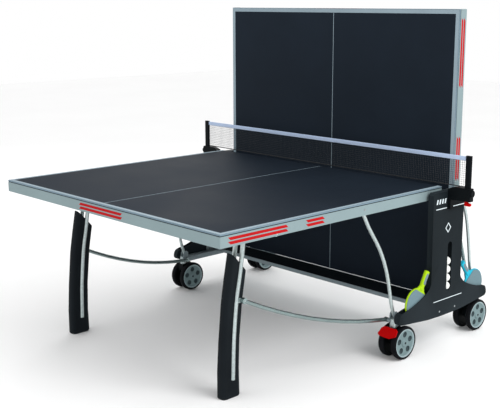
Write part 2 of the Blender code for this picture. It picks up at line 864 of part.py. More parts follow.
def make_side_panel(side_name, side, paint):
    """Plastic T-shaped side panel: two bat pockets open at the top and a slot for the balls."""
    mesh = bmesh.new()
    add_side_prism(mesh, panel_outline(), side * PANEL_INNER, side * PANEL_OUTER)
    bevel_edges(
        mesh,
        PANEL_EDGE_ROUND,
        lambda edge: all(abs(vert.co.x - side * PANEL_OUTER) < 1e-5 for vert in edge.verts),
    )
    panel = finish(f"side_panel_{side_name}", mesh, paint)
    pocket_low = side * (PANEL_INNER + PANEL_WALL)
    pocket_high = side * (PANEL_OUTER - PANEL_WALL)
    for _, half in HALVES:
        pocket = wing_pocket(half)
        cut(panel, lambda tool: add_side_prism(tool, pocket, pocket_low, pocket_high))
    channel_half = BALL_RADIUS + 0.001
    ball_y = NET_Y + BALL_SLOT_Y
    channel_low = (side * 0.770, ball_y - channel_half, BALL_SLOT_BOTTOM - 0.001)
    channel_high = (pocket_high, ball_y + channel_half, BALL_SLOT_TOP + 0.020)
    slot = ball_slot(BALL_SLOT_WIDTH)
    cut(
        panel,
        lambda tool: add_box(tool, channel_low, channel_high),
        lambda tool: add_side_prism(tool, slot, side * 0.790, side * 0.810),
    )
    return panel


# ---------------------------------------------------------------- the net set


def make_net_bracket(side_name, side, paint):
    """Block on the side panel with an arm out to the socket of the net post."""
    start = PANEL_OUTER + TOUCH_GAP
    mesh = bmesh.new()
    outline = [
        (start, BRACKET_TOP - 0.012),
        (start, BRACKET_BOTTOM),
        (start + 0.055, BRACKET_BOTTOM + 0.004),
        (BRACKET_OUTER, BRACKET_BOTTOM + 0.004),
        (BRACKET_OUTER, BRACKET_TOP),
        (start + 0.040, BRACKET_TOP),
        (start + 0.020, BRACKET_TOP - 0.004),
    ]
    add_prism(
        mesh,
        outline,
        lambda point: (side * point[0], NET_Y - BRACKET_FRONT, point[1]),
        lambda point: (side * point[0], NET_Y + BRACKET_FRONT, point[1]),
    )
    bevel_edges(mesh, 0.002, lambda edge: abs(edge.verts[0].co.y - edge.verts[1].co.y) < 1e-6)
    bracket = finish(f"net_bracket_{side_name}", mesh, paint)
    block_low = (side * start, NET_Y - BRACKET_FRONT + 0.001, BLOCK_BOTTOM)
    block_high = (side * (start + BLOCK_THICKNESS), NET_Y + BLOCK_BACK, BLOCK_TOP)
    join(bracket, lambda tool: add_box(tool, block_low, block_high))
    half_x, half_y = NET_POST_SIZE[0] / 2 + TOUCH_GAP, NET_POST_SIZE[1] / 2 + TOUCH_GAP
    socket_low = (side * NET_POST_X - half_x, NET_Y - half_y, BRACKET_BOTTOM + 0.020)
    socket_high = (side * NET_POST_X + half_x, NET_Y + half_y, BRACKET_TOP + 0.01)
    bore_start = (side * (BRACKET_OUTER - 0.006), NET_Y, KNOB_UP)
    bore_end = (side * (BRACKET_OUTER + 0.01), NET_Y, KNOB_UP)
    slot_low = (side * TRIGGER_X - 0.0165, NET_Y - 0.0065, BRACKET_BOTTOM - 0.01)
    slot_high = (side * TRIGGER_X + 0.0165, NET_Y + 0.0065, BRACKET_BOTTOM + 0.014)
    cut(
        bracket,
        lambda tool: add_box(tool, socket_low, socket_high),
        lambda tool: add_rod(tool, bore_start, bore_end, 0.0065),
        lambda tool: add_box(tool, slot_low, slot_high),
    )
    return bracket


def make_net_post(side_name, side, paint):
    """Upright that carries one end of the net."""
    mesh = bmesh.new()
    half_x, half_y = NET_POST_SIZE[0] / 2, NET_POST_SIZE[1] / 2
    bottom = BRACKET_BOTTOM + 0.020 + TOUCH_GAP
    top = TABLE_HEIGHT + NET_HEIGHT + 0.0035
    outline = rounded_rectangle(2 * half_x, 2 * half_y, 0.004, 2)
    add_prism(
        mesh,
        outline,
        lambda point: (side * NET_POST_X + point[0], NET_Y + point[1], bottom),
        lambda point: (side * NET_POST_X + point[0], NET_Y + point[1], top),
    )
    return finish(f"net_post_{side_name}", mesh, paint)


def make_net(paint):
    """Net panel between the posts, under the tape."""
    end = NET_POST_X - NET_POST_SIZE[0] / 2 - TOUCH_GAP
    low = NET_CORD_UP + NET_CORD_RADIUS + TOUCH_GAP
    high = TABLE_HEIGHT + NET_HEIGHT - NET_TAPE_HEIGHT - TOUCH_GAP
    mesh = bmesh.new()
    add_box(mesh, (-end, NET_Y - NET_THICKNESS / 2, low), (end, NET_Y + NET_THICKNESS / 2, high))
    return finish("net", mesh, paint)


def make_net_tape(paint):
    """White tape along the top edge of the net."""
    end = NET_POST_X - NET_POST_SIZE[0] / 2 - TOUCH_GAP
    high = TABLE_HEIGHT + NET_HEIGHT
    half = NET_TAPE_THICKNESS / 2
    mesh = bmesh.new()
    add_box(mesh, (-end, NET_Y - half, high - NET_TAPE_HEIGHT), (end, NET_Y + half, high))
    bevel_edges(mesh, 0.0015, lambda edge: abs(edge.verts[0].co.x - edge.verts[1].co.x) > 0.1)
    return finish("net_tape", mesh, paint)


def make_net_cord(paint):
    """Tension cord along the bottom edge of the net, tied between the posts."""
    end = NET_POST_X - NET_POST_SIZE[0] / 2 - TOUCH_GAP
    mesh = bmesh.new()
    add_rod(mesh, (-end, NET_Y, NET_CORD_UP), (end, NET_Y, NET_CORD_UP), NET_CORD_RADIUS, 8)
    return finish("net_cord", mesh, paint, smooth=True)


def make_tension_knob(side_name, side, paint):
    """Round knob on the outer face of the bracket that tightens the net cord."""
    start = BRACKET_OUTER + TOUCH_GAP
    profile = (
        (0.0, 0.0075),
        (0.0, KNOB_RADIUS - 0.002),
        (0.002, KNOB_RADIUS),
        (KNOB_THICKNESS - 0.002, KNOB_RADIUS),
        (KNOB_THICKNESS, KNOB_RADIUS - 0.003),
        (KNOB_THICKNESS, 0.0075),
    )
    mesh = bmesh.new()
    centre = Vector((side * start, NET_Y, KNOB_UP))
    add_turning(mesh, [(side * along, radius) for along, radius in profile], centre, 24)
    knob = finish(f"tension_knob_{side_name}", mesh, paint, centre, smooth=True)
    stem_start = centre - Vector((side * 0.005, 0, 0))
    stem_end = centre + Vector((side * (KNOB_THICKNESS - 0.001), 0, 0))
    core_start = centre + Vector((side * 0.001, 0, 0))
    join(
        knob,
        lambda tool: add_rod(tool, core_start, stem_end, 0.010),
        lambda tool: add_rod(tool, stem_start, stem_end, 0.006),
    )
    return knob


def make_lock_trigger(side_name, side, paint):
    """Red trigger under the bracket that frees the locks of the folding halves."""
    axis_x, axis_up = 0.893, 0.708
    thickness = 0.011
    blade = [
        (0.888, 0.7125),
        (0.888, 0.689),
        (0.891, 0.686),
        (0.916, 0.686),
        (0.919, 0.689),
        (0.919, 0.699),
        (0.904, 0.701),
        (0.900, 0.7125),
    ]
    mesh = bmesh.new()
    add_prism(
        mesh,
        blade,
        lambda point: (side * point[0], NET_Y - thickness / 2, point[1]),
        lambda point: (side * point[0], NET_Y + thickness / 2, point[1]),
    )
    return finish(f"lock_trigger_{side_name}", mesh, paint, (side * axis_x, NET_Y, axis_up))


# ---------------------------------------------------------------- the casters


def caster_centre(side, half):
    """Middle of a caster's axle."""
    return world(side * SWIVEL_X, (SWIVEL_OUT - CASTER_TRAIL, WHEEL_RADIUS), half)


def make_caster_fork(name, side, half, paint):
    """Caster body between the twin wheels, with its axle and swivel stem."""
    centre = caster_centre(side, half)
    x = side * SWIVEL_X

    def at(out, up):
        return (NET_Y + half * out, up)

    hub = SWIVEL_OUT - CASTER_TRAIL
    top = SLEEVE_BOTTOM - TOUCH_GAP
    outline = [
        at(SWIVEL_OUT + 0.016, top),
        at(SWIVEL_OUT - 0.018, top),
        at(SWIVEL_OUT - 0.030, top - 0.010),
        at(hub - 0.030, 0.110),
        at(hub - 0.028, 0.066),
        at(hub - 0.012, 0.052),
        at(hub + 0.012, 0.052),
        at(hub + 0.032, 0.080),
        at(SWIVEL_OUT + 0.020, 0.115),
    ]
    mesh = bmesh.new()
    add_side_prism(mesh, outline, x - HOUSING_HALF_WIDTH, x + HOUSING_HALF_WIDTH)
    origin = world(x, (SWIVEL_OUT, SLEEVE_BOTTOM), half)
    fork = finish(name, mesh, paint, origin)
    reach = WHEEL_OFFSET + WHEEL_WIDTH / 2 - 0.001
    stem_bottom = world(x, (SWIVEL_OUT, top - 0.010), half)
    stem_top = world(x, (SWIVEL_OUT, SLEEVE_BOTTOM + 0.028), half)
    join(
        fork,
        lambda tool: add_rod(
            tool, centre - Vector((reach, 0, 0)), centre + Vector((reach, 0, 0)), AXLE_RADIUS
        ),
        lambda tool: add_rod(tool, stem_bottom, stem_top, STEM_RADIUS),
    )
    return fork


def make_wheel(name, centre, outward, paint):
    """Wheel with a rounded tread and a hub sunk on its outer face; outward is its outer X side."""
    half = WHEEL_WIDTH / 2
    bore = AXLE_RADIUS + PIN_PLAY
    profile = (
        (-half, bore),
        (-half, WHEEL_RADIUS - 0.007),
        (-half + 0.007, WHEEL_RADIUS),
        (half - 0.007, WHEEL_RADIUS),
        (half, WHEEL_RADIUS - 0.007),
        (half, WHEEL_RADIUS - 0.016),
        (half - 0.006, WHEEL_RADIUS - 0.018),
        (half - 0.006, 0.024),
        (half - 0.001, 0.019),
        (half - 0.001, bore),
    )
    mesh = bmesh.new()
    add_turning(mesh, [(outward * along, radius) for along, radius in profile], centre, 32)
    return finish(name, mesh, paint, centre, smooth=True)


def make_brake_pedal(name, side, half, paint):
    """Foot pedal over the outer side of a caster, hinged on the caster body."""
    x = side * SWIVEL_X
    hinge = Vector((SWIVEL_OUT + 0.012, 0.145))
    low, high = 0.110, 0.154
    face = SWIVEL_OUT + 0.051
    slope = 0.47
    thickness = 0.006
    width = 0.048
    outline = [
        (-1.10 * width, low + 0.010),
        (-0.85 * width, low + 0.002),
        (-0.20 * width, low),
        (0.35 * width, low),
        (0.98 * width, low + 0.013),
        (width, high - 0.008),
        (0.80 * width, high),
        (-0.60 * width, high),
        (-0.85 * width, high - 0.008),
        (-0.95 * width, low + 0.022),
    ]

    def at(offset):
        return lambda point: world(
            x + point[0], (face + offset - slope * (point[1] - low), point[1]), half
        )

    mesh = bmesh.new()
    add_prism(mesh, outline, at(-thickness), at(0.0))
    pedal = finish(name, mesh, paint, world(x, hinge, half))
    arm_low = world(x - 0.012, (SWIVEL_OUT + 0.0210, 0.127), half)
    arm_high = world(x + 0.012, (face - 0.014, 0.139), half)
    join(pedal, lambda tool: add_box(tool, arm_low, arm_high))
    return pedal


def make_casters(paints):
    for half_name, half in HALVES:
        for side_name, side in SIDES:
            place = f"{half_name}_{side_name}"
            make_caster_fork(f"caster_{place}", side, half, paints["black"])
            centre = caster_centre(side, half)
            for wheel_name, outward in (("inner", -side), ("outer", side)):
                wheel_centre = centre + Vector((outward * WHEEL_OFFSET, 0, 0))
                make_wheel(
                    f"wheel_{place}_{wheel_name}", wheel_centre, outward, paints["wheel"]
                )
    make_brake_pedal("brake_pedal_near_right", 1, NEAR, paints["red"])
    make_brake_pedal("brake_pedal_far_left", -1, FAR, paints["red"])


# ---------------------------------------------------------------- bats and balls


def make_bat(name, blade, handle, paint):
    """Bat with its blade in a wing pocket of the right panel; points are (y, z) off the net plane."""
    x = (PANEL_INNER + PANEL_OUTER) / 2
    centre = Vector((x, NET_Y + blade[0], blade[1]))
    toward = Vector((0, handle[0] - blade[0], handle[1] - blade[1])).normalized()
    across = Vector((0, -toward.z, toward.y))
    half = BAT_BLADE_THICKNESS / 2 + BAT_RUBBER_THICKNESS
    steps = 36
    shoulder = math.radians(24)
    outline = []
    for step in range(steps + 1):
        angle = shoulder + (math.tau - 2 * shoulder) * step / steps
        outline.append(
            toward * BAT_BLADE_RADIUS * math.cos(angle) + across * BAT_BLADE_RADIUS * math.sin(angle)
        )
    grip_half = BAT_HANDLE_SIZE[0] / 2
    outline.append(toward * (BAT_BLADE_RADIUS + 0.004) - across * grip_half)
    outline.append(toward * (BAT_BLADE_RADIUS + 0.004) + across * grip_half)
    mesh = bmesh.new()
    thickness = Vector((half, 0, 0))
    add_prism(
        mesh,
        outline,
        lambda point: centre + point - thickness,
        lambda point: centre + point + thickness,
    )
    bat = finish(name, mesh, paint, centre)
    grip_start = centre + toward * (BAT_BLADE_RADIUS - 0.002)
    grip_path = [
        grip_start,
        grip_start + toward * 0.4 * BAT_HANDLE_LENGTH,
        grip_start + toward * BAT_HANDLE_LENGTH,
    ]
    section = rounded_rectangle(BAT_HANDLE_SIZE[1], BAT_HANDLE_SIZE[0], 0.009, 4)
    join(bat, lambda tool: add_sweep(tool, grip_path, section))
    return bat


def make_balls(paint):
    pitch = 2 * BALL_RADIUS + TOUCH_GAP
    lowest = BALL_SLOT_BOTTOM + BALL_RADIUS - 0.001 + TOUCH_GAP
    for index in range(4):
        centre = Vector((BALL_X, NET_Y + BALL_SLOT_Y, lowest + index * pitch))
        mesh = bmesh.new()
        place = Matrix.Translation(centre)
        bmesh.ops.create_icosphere(mesh, subdivisions=2, radius=BALL_RADIUS, matrix=place)
        finish(f"ball_{index + 1}", mesh, paint, centre, smooth=True)


# ---------------------------------------------------------------- build


def clear_scene():
    for leftover in list(bpy.data.objects):
        bpy.data.objects.remove(leftover)


def make_chassis(paints):
    make_cross_beam(paints["frame"])
    make_beam_cover(paints["charcoal"])
    for side_name, side in SIDES:
        make_side_rail(side_name, side, paints["frame"])
        make_side_post(side_name, side, paints["steel"])
        make_side_panel(side_name, side, paints["charcoal"])


def make_net_set(paints):
    for side_name, side in SIDES:
        make_net_bracket(side_name, side, paints["black"])
        make_net_post(side_name, side, paints["black"])
        make_tension_knob(side_name, side, paints["black"])
        make_lock_trigger(side_name, side, paints["red"])
    make_net(paints["mesh"])
    make_net_tape(paints["white"])
    make_net_cord(paints["black"])


def main():
    clear_scene()
    paints = make_materials()
    make_chassis(paints)
    make_net_set(paints)
    make_casters(paints)
    for half_name, half in HALVES:
        make_half(half_name, half, paints)
    make_bat("bat_near", (-0.212, 0.244), (-0.137, 0.372), paints["lime"])
    make_bat("bat_far", (0.245, 0.247), (0.135, 0.385), paints["cyan"])
    make_balls(paints["ball"])


main()
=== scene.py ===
"""Looks of the folding ping pong table: materials, fine geometry, light and camera."""

import math

import bmesh
import bpy
from mathutils import Matrix, Vector


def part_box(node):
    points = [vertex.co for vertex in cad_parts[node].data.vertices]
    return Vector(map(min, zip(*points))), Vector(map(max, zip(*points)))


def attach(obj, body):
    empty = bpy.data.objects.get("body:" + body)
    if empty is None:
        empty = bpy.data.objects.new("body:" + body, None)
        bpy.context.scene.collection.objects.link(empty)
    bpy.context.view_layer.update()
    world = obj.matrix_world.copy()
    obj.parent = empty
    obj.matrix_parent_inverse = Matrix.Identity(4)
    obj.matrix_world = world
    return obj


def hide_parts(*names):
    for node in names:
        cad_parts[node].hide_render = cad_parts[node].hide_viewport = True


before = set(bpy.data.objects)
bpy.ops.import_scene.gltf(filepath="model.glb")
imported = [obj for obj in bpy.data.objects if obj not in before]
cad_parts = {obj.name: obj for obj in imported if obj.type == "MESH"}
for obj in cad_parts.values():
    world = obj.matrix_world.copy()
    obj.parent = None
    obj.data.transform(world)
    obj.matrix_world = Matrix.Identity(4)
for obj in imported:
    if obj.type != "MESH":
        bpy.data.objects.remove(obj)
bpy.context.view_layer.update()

# Places read from the CAD
TAPE_LOW, TAPE_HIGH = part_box("net_tape")
NET_LOW, NET_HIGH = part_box("net")
NET_Y = (TAPE_LOW.y + TAPE_HIGH.y) / 2
NEAR_LOW, NEAR_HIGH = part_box("near_board")
FAR_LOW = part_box("far_board")[0]
PANEL_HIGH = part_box("side_panel_right")[1]
TABLE_HEIGHT = NEAR_HIGH.z
HALF_WIDTH = NEAR_HIGH.x
HALF_LENGTH = NEAR_HIGH.y - NEAR_LOW.y
BOARD_THICKNESS = NEAR_HIGH.z - NEAR_LOW.z

# Sizes shared with the CAD: round of the boards' corners, and depth of the net's housing
CORNER = 0.004
HOUSING_DEPTH = 0.0163

# Height of a printed coat: it starts just above the face that it lies on
COAT_LOW = 0.00003
COAT_HIGH = 0.0003

SIDES = (("left", -1), ("right", 1))
HALVES = (("near", -1), ("far", 1))


# ---------------------------------------------------------------- camera and light


def place_camera():
    """Camera of the photograph: to the right of the lowered half, a little above the net."""
    data = bpy.data.cameras.new("camera")
    camera = bpy.data.objects.new("camera", data)
    bpy.context.scene.collection.objects.link(camera)
    yaw, pitch, roll = math.radians(45.84), math.radians(11.99), math.radians(-0.087)
    camera.location = (3.2909, NET_Y - 3.5872, 1.5854)
    camera.rotation_mode = "QUATERNION"
    turn = Matrix.Rotation(yaw, 3, "Z") @ Matrix.Rotation(math.pi / 2 - pitch, 3, "X")
    camera.rotation_quaternion = (turn @ Matrix.Rotation(-roll, 3, "Z")).to_quaternion()
    data.sensor_width = 36.0
    data.lens = 68.44
    data.shift_x = -0.0337
    data.shift_y = 0.0018
    data.clip_end = 100.0
    bpy.context.scene.camera = camera


def add_lamp(name, place, target, size, watts):
    data = bpy.data.lights.new(name, "AREA")
    data.shape = "SQUARE"
    data.size = size
    data.energy = watts
    lamp = bpy.data.objects.new(name, data)
    lamp.location = place
    aim = Vector(target) - Vector(place)
    lamp.rotation_euler = aim.to_track_quat("-Z", "Y").to_euler()
    bpy.context.scene.collection.objects.link(lamp)


def light_studio():
    world = bpy.data.worlds.new("studio")
    world.use_nodes = True
    background = world.node_tree.nodes["Background"]
    background.inputs["Color"].default_value = (1.0, 1.0, 1.0, 1.0)
    background.inputs["Strength"].default_value = 1.0
    bpy.context.scene.world = world
    bpy.context.scene.view_settings.view_transform = "Standard"
    middle = (0.0, 0.0, 0.6)
    add_lamp("key_lamp", (3.6, 0.2, 3.0), middle, 2.4, 90)
    add_lamp("front_lamp", (-1.2, -4.6, 2.8), middle, 2.6, 20)
    add_lamp("back_lamp", (-3.6, 3.2, 3.2), middle, 2.6, 40)


def lay_floor():
    mesh = bmesh.new()
    bmesh.ops.create_grid(mesh, x_segments=1, y_segments=1, size=14.0)
    floor = new_piece("floor", mesh, floor_paint())
    floor.location.z = -0.0005


# ---------------------------------------------------------------- materials


MATTE_SPECULAR = 0.04


def start_material(name, colour, roughness, metallic=0.0):
    made = bpy.data.materials.new(name)
    made.use_nodes = True
    nodes = made.node_tree.nodes
    shader = nodes["Principled BSDF"]
    shader.inputs["Base Color"].default_value = (*colour, 1.0)
    shader.inputs["Roughness"].default_value = roughness
    shader.inputs["Metallic"].default_value = metallic
    shader.inputs["Specular IOR Level"].default_value = MATTE_SPECULAR
    return made, nodes, made.node_tree.links, shader


def object_space(nodes, links, stretch=(1.0, 1.0, 1.0)):
    """Object coordinates, stretched along an axis where the pattern runs that way."""
    source = nodes.new("ShaderNodeTexCoord")
    mapping = nodes.new("ShaderNodeMapping")
    mapping.inputs["Scale"].default_value = stretch
    links.new(source.outputs["Object"], mapping.inputs["Vector"])
    return mapping.outputs["Vector"]


def noise(nodes, links, space, scale, detail=3.0, rough=0.55):
    made = nodes.new("ShaderNodeTexNoise")
    made.inputs["Scale"].default_value = scale
    made.inputs["Detail"].default_value = detail
    made.inputs["Roughness"].default_value = rough
    links.new(space, made.inputs["Vector"])
    return made.outputs["Fac"]


def remap(nodes, links, value, low, high, start=0.3, end=0.7):
    made = nodes.new("ShaderNodeMapRange")
    made.inputs["From Min"].default_value = start
    made.inputs["From Max"].default_value = end
    made.inputs["To Min"].default_value = low
    made.inputs["To Max"].default_value = high
    links.new(value, made.inputs["Value"])
    return made.outputs["Result"]


def blend_colours(nodes, links, value, first, second):
    made = nodes.new("ShaderNodeMix")
    made.data_type = "RGBA"
    made.inputs["A"].default_value = (*first, 1.0)
    made.inputs["B"].default_value = (*second, 1.0)
    links.new(value, made.inputs["Factor"])
    return made.outputs["Result"]


def add_bump(nodes, links, shader, height, strength, distance):
    made = nodes.new("ShaderNodeBump")
    made.inputs["Strength"].default_value = strength
    made.inputs["Distance"].default_value = distance
    links.new(height, made.inputs["Height"])
    links.new(made.outputs["Normal"], shader.inputs["Normal"])


def scaled(colour, factor):
    return tuple(min(1.0, part * factor) for part in colour)


def moulded(name, colour, roughness, grain, depth, spread=0.18, mottle=6.0, metallic=0.0):
    """Painted or moulded surface: broad tone changes, a fine grain and uneven gloss."""
    made, nodes, links, shader = start_material(name, colour, roughness, metallic)
    space = object_space(nodes, links)
    broad = noise(nodes, links, space, mottle, 4.0)
    tone = remap(nodes, links, broad, 0.0, 1.0)
    mixed = blend_colours(
        nodes, links, tone, scaled(colour, 1 - spread), scaled(colour, 1 + spread)
    )
    links.new(mixed, shader.inputs["Base Color"])
    fine = noise(nodes, links, space, grain, 2.0, 0.6)
    gloss = remap(nodes, links, fine, roughness - 0.07, roughness + 0.07)
    links.new(gloss, shader.inputs["Roughness"])
    add_bump(nodes, links, shader, fine, 0.5, depth)
    return made


def worn_edges(made, bright, amount=0.5):
    """Lightens the outer edges of a surface, as handling does."""
    nodes, links = made.node_tree.nodes, made.node_tree.links
    shader = nodes["Principled BSDF"]
    base = shader.inputs["Base Color"].links[0].from_socket
    geometry = nodes.new("ShaderNodeNewGeometry")
    edge = remap(nodes, links, geometry.outputs["Pointiness"], 0.0, amount, 0.52, 0.62)
    mix = nodes.new("ShaderNodeMix")
    mix.data_type = "RGBA"
    links.new(edge, mix.inputs["Factor"])
    links.new(base, mix.inputs["A"])
    mix.inputs["B"].default_value = (*bright, 1.0)
    links.new(mix.outputs["Result"], shader.inputs["Base Color"])


def laminate():
    """Matte outdoor playing surface: slate colour with a fine stipple and faint mottling."""
    colour = (0.012, 0.018, 0.027)
    made, nodes, links, shader = start_material("slate_laminate", colour, 0.6)
    space = object_space(nodes, links)
    broad = noise(nodes, links, space, 2.2, 5.0)
    tone = remap(nodes, links, broad, 0.0, 1.0)
    mixed = blend_colours(nodes, links, tone, scaled(colour, 0.86), scaled(colour, 1.14))
    links.new(mixed, shader.inputs["Base Color"])
    stipple = noise(nodes, links, space, 900.0, 1.0)
    gloss = remap(nodes, links, broad, 0.56, 0.66)
    links.new(gloss, shader.inputs["Roughness"])
    add_bump(nodes, links, shader, stipple, 0.25, 0.0004)
    return made


def galvanised():
    """Bright zinc-coated tube with faint spangle and drawing marks."""
    colour = (0.46, 0.53, 0.53)
    made, nodes, links, shader = start_material("galvanised_steel", colour, 0.34, 0.9)
    space = object_space(nodes, links)
    spangle = nodes.new("ShaderNodeTexVoronoi")
    spangle.inputs["Scale"].default_value = 110.0
    links.new(space, spangle.inputs["Vector"])
    tone = remap(nodes, links, spangle.outputs["Distance"], 0.0, 1.0, 0.1, 0.7)
    mixed = blend_colours(nodes, links, tone, scaled(colour, 0.88), scaled(colour, 1.08))
    links.new(mixed, shader.inputs["Base Color"])
    marks = noise(nodes, links, object_space(nodes, links, (1.0, 1.0, 0.1)), 240.0, 3.0)
    gloss = remap(nodes, links, marks, 0.26, 0.42)
    links.new(gloss, shader.inputs["Roughness"])
    add_bump(nodes, links, shader, marks, 0.2, 0.0002)
    return made


def woven(name, colour, threads, depth=0.0004):
    """Plain weave seen on the net's tape: two crossed sets of threads."""
    made, nodes, links, shader = start_material(name, colour, 0.85)
    space = object_space(nodes, links)
    waves = []
    for direction in ("X", "Z"):
        wave = nodes.new("ShaderNodeTexWave")
        wave.bands_direction = direction
        wave.inputs["Scale"].default_value = threads
        wave.inputs["Distortion"].default_value = 0.6
        links.new(space, wave.inputs["Vector"])
        waves.append(wave.outputs["Fac"])
    crossed = nodes.new("ShaderNodeMath")
    crossed.operation = "MULTIPLY"
    links.new(waves[0], crossed.inputs[0])
    links.new(waves[1], crossed.inputs[1])
    mixed = blend_colours(
        nodes, links, crossed.outputs["Value"], scaled(colour, 0.82), scaled(colour, 1.05)
    )
    links.new(mixed, shader.inputs["Base Color"])
    add_bump(nodes, links, shader, crossed.outputs["Value"], 0.6, depth)
    shader.inputs["Sheen Weight"].default_value = 0.2
    return made


def dimpled(name, colour, roughness):
    """Bat rubber: a fine regular dimple on a matte colour."""
    made, nodes, links, shader = start_material(name, colour, roughness)
    space = object_space(nodes, links)
    cells = nodes.new("ShaderNodeTexVoronoi")
    cells.inputs["Scale"].default_value = 420.0
    cells.inputs["Randomness"].default_value = 0.1
    links.new(space, cells.inputs["Vector"])
    tone = remap(nodes, links, cells.outputs["Distance"], 0.0, 1.0, 0.1, 0.6)
    mixed = blend_colours(nodes, links, tone, scaled(colour, 1.1), scaled(colour, 0.85))
    links.new(mixed, shader.inputs["Base Color"])
    add_bump(nodes, links, shader, cells.outputs["Distance"], 0.5, 0.0005)
    return made


def floor_paint():
    return moulded("studio_floor", (0.97, 0.97, 0.97), 0.7, 60.0, 0.0002, 0.01, 1.0)


def make_paints():
    apron = (0.240, 0.315, 0.330)
    paints = {
        "laminate": laminate(),
        "apron": moulded("apron_paint", apron, 0.38, 700.0, 0.00015, 0.04, 3.0, 0.25),
        "rim": moulded("board_rim", (0.17, 0.24, 0.29), 0.42, 500.0, 0.0002, 0.06, 4.0, 0.2),
        "line": moulded("court_line", (0.28, 0.36, 0.41), 0.5, 600.0, 0.0002, 0.05, 5.0),
        "steel": galvanised(),
        # Stays: the zinc of the tubes darkened, as painted shade for the stays under the boards
        "stay": moulded("stay_zinc_painted_shade", (0.26, 0.33, 0.33), 0.26, 500.0, 0.0001, 0.10, 8.0, 0.9),
        "frame": moulded("grey_frame_paint", (0.22, 0.27, 0.29), 0.42, 500.0, 0.0002, 0.08, 5.0, 0.2),
        "charcoal": moulded("charcoal_plastic", (0.0062, 0.0095, 0.0115), 0.55, 320.0, 0.0006),
        # Near-black paint on the top of the cross beam: painted shade, where the beam lies in shadow
        # under both halves
        "cover": moulded("beam_top_painted_shade", (0.010, 0.014, 0.017), 0.55, 320.0, 0.0006),
        "pad": moulded("leg_pad_plastic", (0.0075, 0.0100, 0.0125), 0.5, 260.0, 0.0008),
        "black": moulded("black_plastic", (0.0040, 0.0055, 0.0065), 0.42, 420.0, 0.0004),
        # Near-black in the groove under each board's edge: painted shade in the recess
        "groove_shade": moulded("groove_painted_shade", (0.010, 0.012, 0.014), 0.7, 500.0, 0.0004),
        "post": moulded("black_post_paint", (0.0050, 0.0065, 0.0080), 0.4, 600.0, 0.0002),
        "red": moulded("red_plastic", (0.44, 0.0005, 0.001), 0.32, 380.0, 0.0003, 0.10),
        "red_print": moulded("red_print", (0.42, 0.008, 0.010), 0.5, 500.0, 0.0001, 0.05),
        "white_print": moulded("white_print", (0.62, 0.70, 0.73), 0.5, 500.0, 0.0001, 0.05),
        "tyre": moulded("tyre_rubber", (0.0055, 0.0060, 0.0075), 0.62, 260.0, 0.0009, 0.25, 30.0),
        "hub": moulded("hub_plastic", (0.17, 0.24, 0.25), 0.34, 420.0, 0.0003, 0.08, 12.0, 0.1),
        # Dark pockets of the hubs: painted shade in the recesses
        "hub_painted_shade": moulded("hub_pocket_painted_shade", (0.055, 0.078, 0.085), 0.3, 420.0, 0.0003, 0.08, 12.0),
        # Lighter copy of the hub colour for its outer ring: painted highlight
        "hub_rim_painted_highlight": moulded("hub_rim_painted_highlight", (0.34, 0.43, 0.45), 0.28, 420.0, 0.0002, 0.08, 12.0, 0.2),
        "tape": woven("net_tape_weave", (0.50, 0.62, 0.84), 260.0),
        "string": woven("net_string", (0.030, 0.036, 0.042), 600.0),
        "cord": woven("net_cord_braid", (0.012, 0.012, 0.014), 500.0),
        "ball": moulded("ball_celluloid", (0.80, 0.82, 0.80), 0.42, 500.0, 0.0002, 0.03, 20.0),
        "rubber_grey": dimpled("bat_rubber_grey", (0.15, 0.23, 0.26), 0.55),
        "lime": moulded("bat_lime", (0.36, 0.58, 0.01), 0.38, 400.0, 0.0002, 0.08, 20.0),
        "cyan": moulded("bat_cyan", (0.02, 0.42, 0.58), 0.38, 400.0, 0.0002, 0.08, 20.0),
        "grip": moulded("bat_grip_grey", (0.16, 0.22, 0.25), 0.5, 300.0, 0.0005, 0.1, 20.0),
        "bolt": moulded("bolt_steel", (0.30, 0.33, 0.34), 0.35, 300.0, 0.0003, 0.1, 40.0, 0.8),
    }
    worn_edges(paints["charcoal"], (0.030, 0.040, 0.047))
    worn_edges(paints["pad"], (0.022, 0.028, 0.033))
    return paints


# ---------------------------------------------------------------- mesh helpers


def new_piece(name, mesh, *paints, smooth=False, angle=35.0):
    """Object made from a finished mesh, with its paints and its shading."""
    bmesh.ops.recalc_face_normals(mesh, faces=mesh.faces)
    data = bpy.data.meshes.new(name)
    mesh.to_mesh(data)
    mesh.free()
    for paint in paints:
        data.materials.append(paint)
    if smooth:
        data.shade_smooth()
        data.set_sharp_from_angle(angle=math.radians(angle))
    made = bpy.data.objects.new(name, data)
    bpy.context.scene.collection.objects.link(made)
    return made


def settle(piece, body, slot_name, *replaced):
    """Puts a finished piece on its body and hides the nodes it stands for; the slot name it is given
    is not used.
    """
    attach(piece, body)
    if replaced:
        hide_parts(*replaced)


def add_loops(mesh, rings, closed=False, capped=True, material=0):
    """Skins a list of equal rings of points; each ring is a closed loop."""
    made = [[mesh.verts.new(point) for point in ring] for ring in rings]
    pairs = list(zip(made, made[1:]))
    if closed:
        pairs.append((made[-1], made[0]))
    for ring, following in pairs:
        for index in range(len(ring)):
            after = (index + 1) % len(ring)
            face = mesh.faces.new((ring[index], ring[after], following[after], following[index]))
            face.material_index = material
    if capped and not closed:
        for cap in (made[0][::-1], made[-1]):
            mesh.faces.new(cap).material_index = material


def rounded_rectangle(width, height, radius, steps=5):
    """Outline of a rectangle about (0, 0) with rounded corners, counter-clockwise."""
    points = []
    for corner in range(4):
        middle = math.radians(45 + 90 * corner)
        centre_x = math.copysign(width / 2 - radius, math.cos(middle))
        centre_y = math.copysign(height / 2 - radius, math.sin(middle))
        for step in range(steps + 1):
            angle = math.radians(90 * corner + 90 * step / steps)
            points.append((centre_x + radius * math.cos(angle), centre_y + radius * math.sin(angle)))
    return points


def circle(radius, steps, turn=0.0):
    """Points of a circle about (0, 0), counter-clockwise."""
    return [
        (
            radius * math.cos(math.tau * step / steps + turn),
            radius * math.sin(math.tau * step / steps + turn),
        )
        for step in range(steps)
    ]


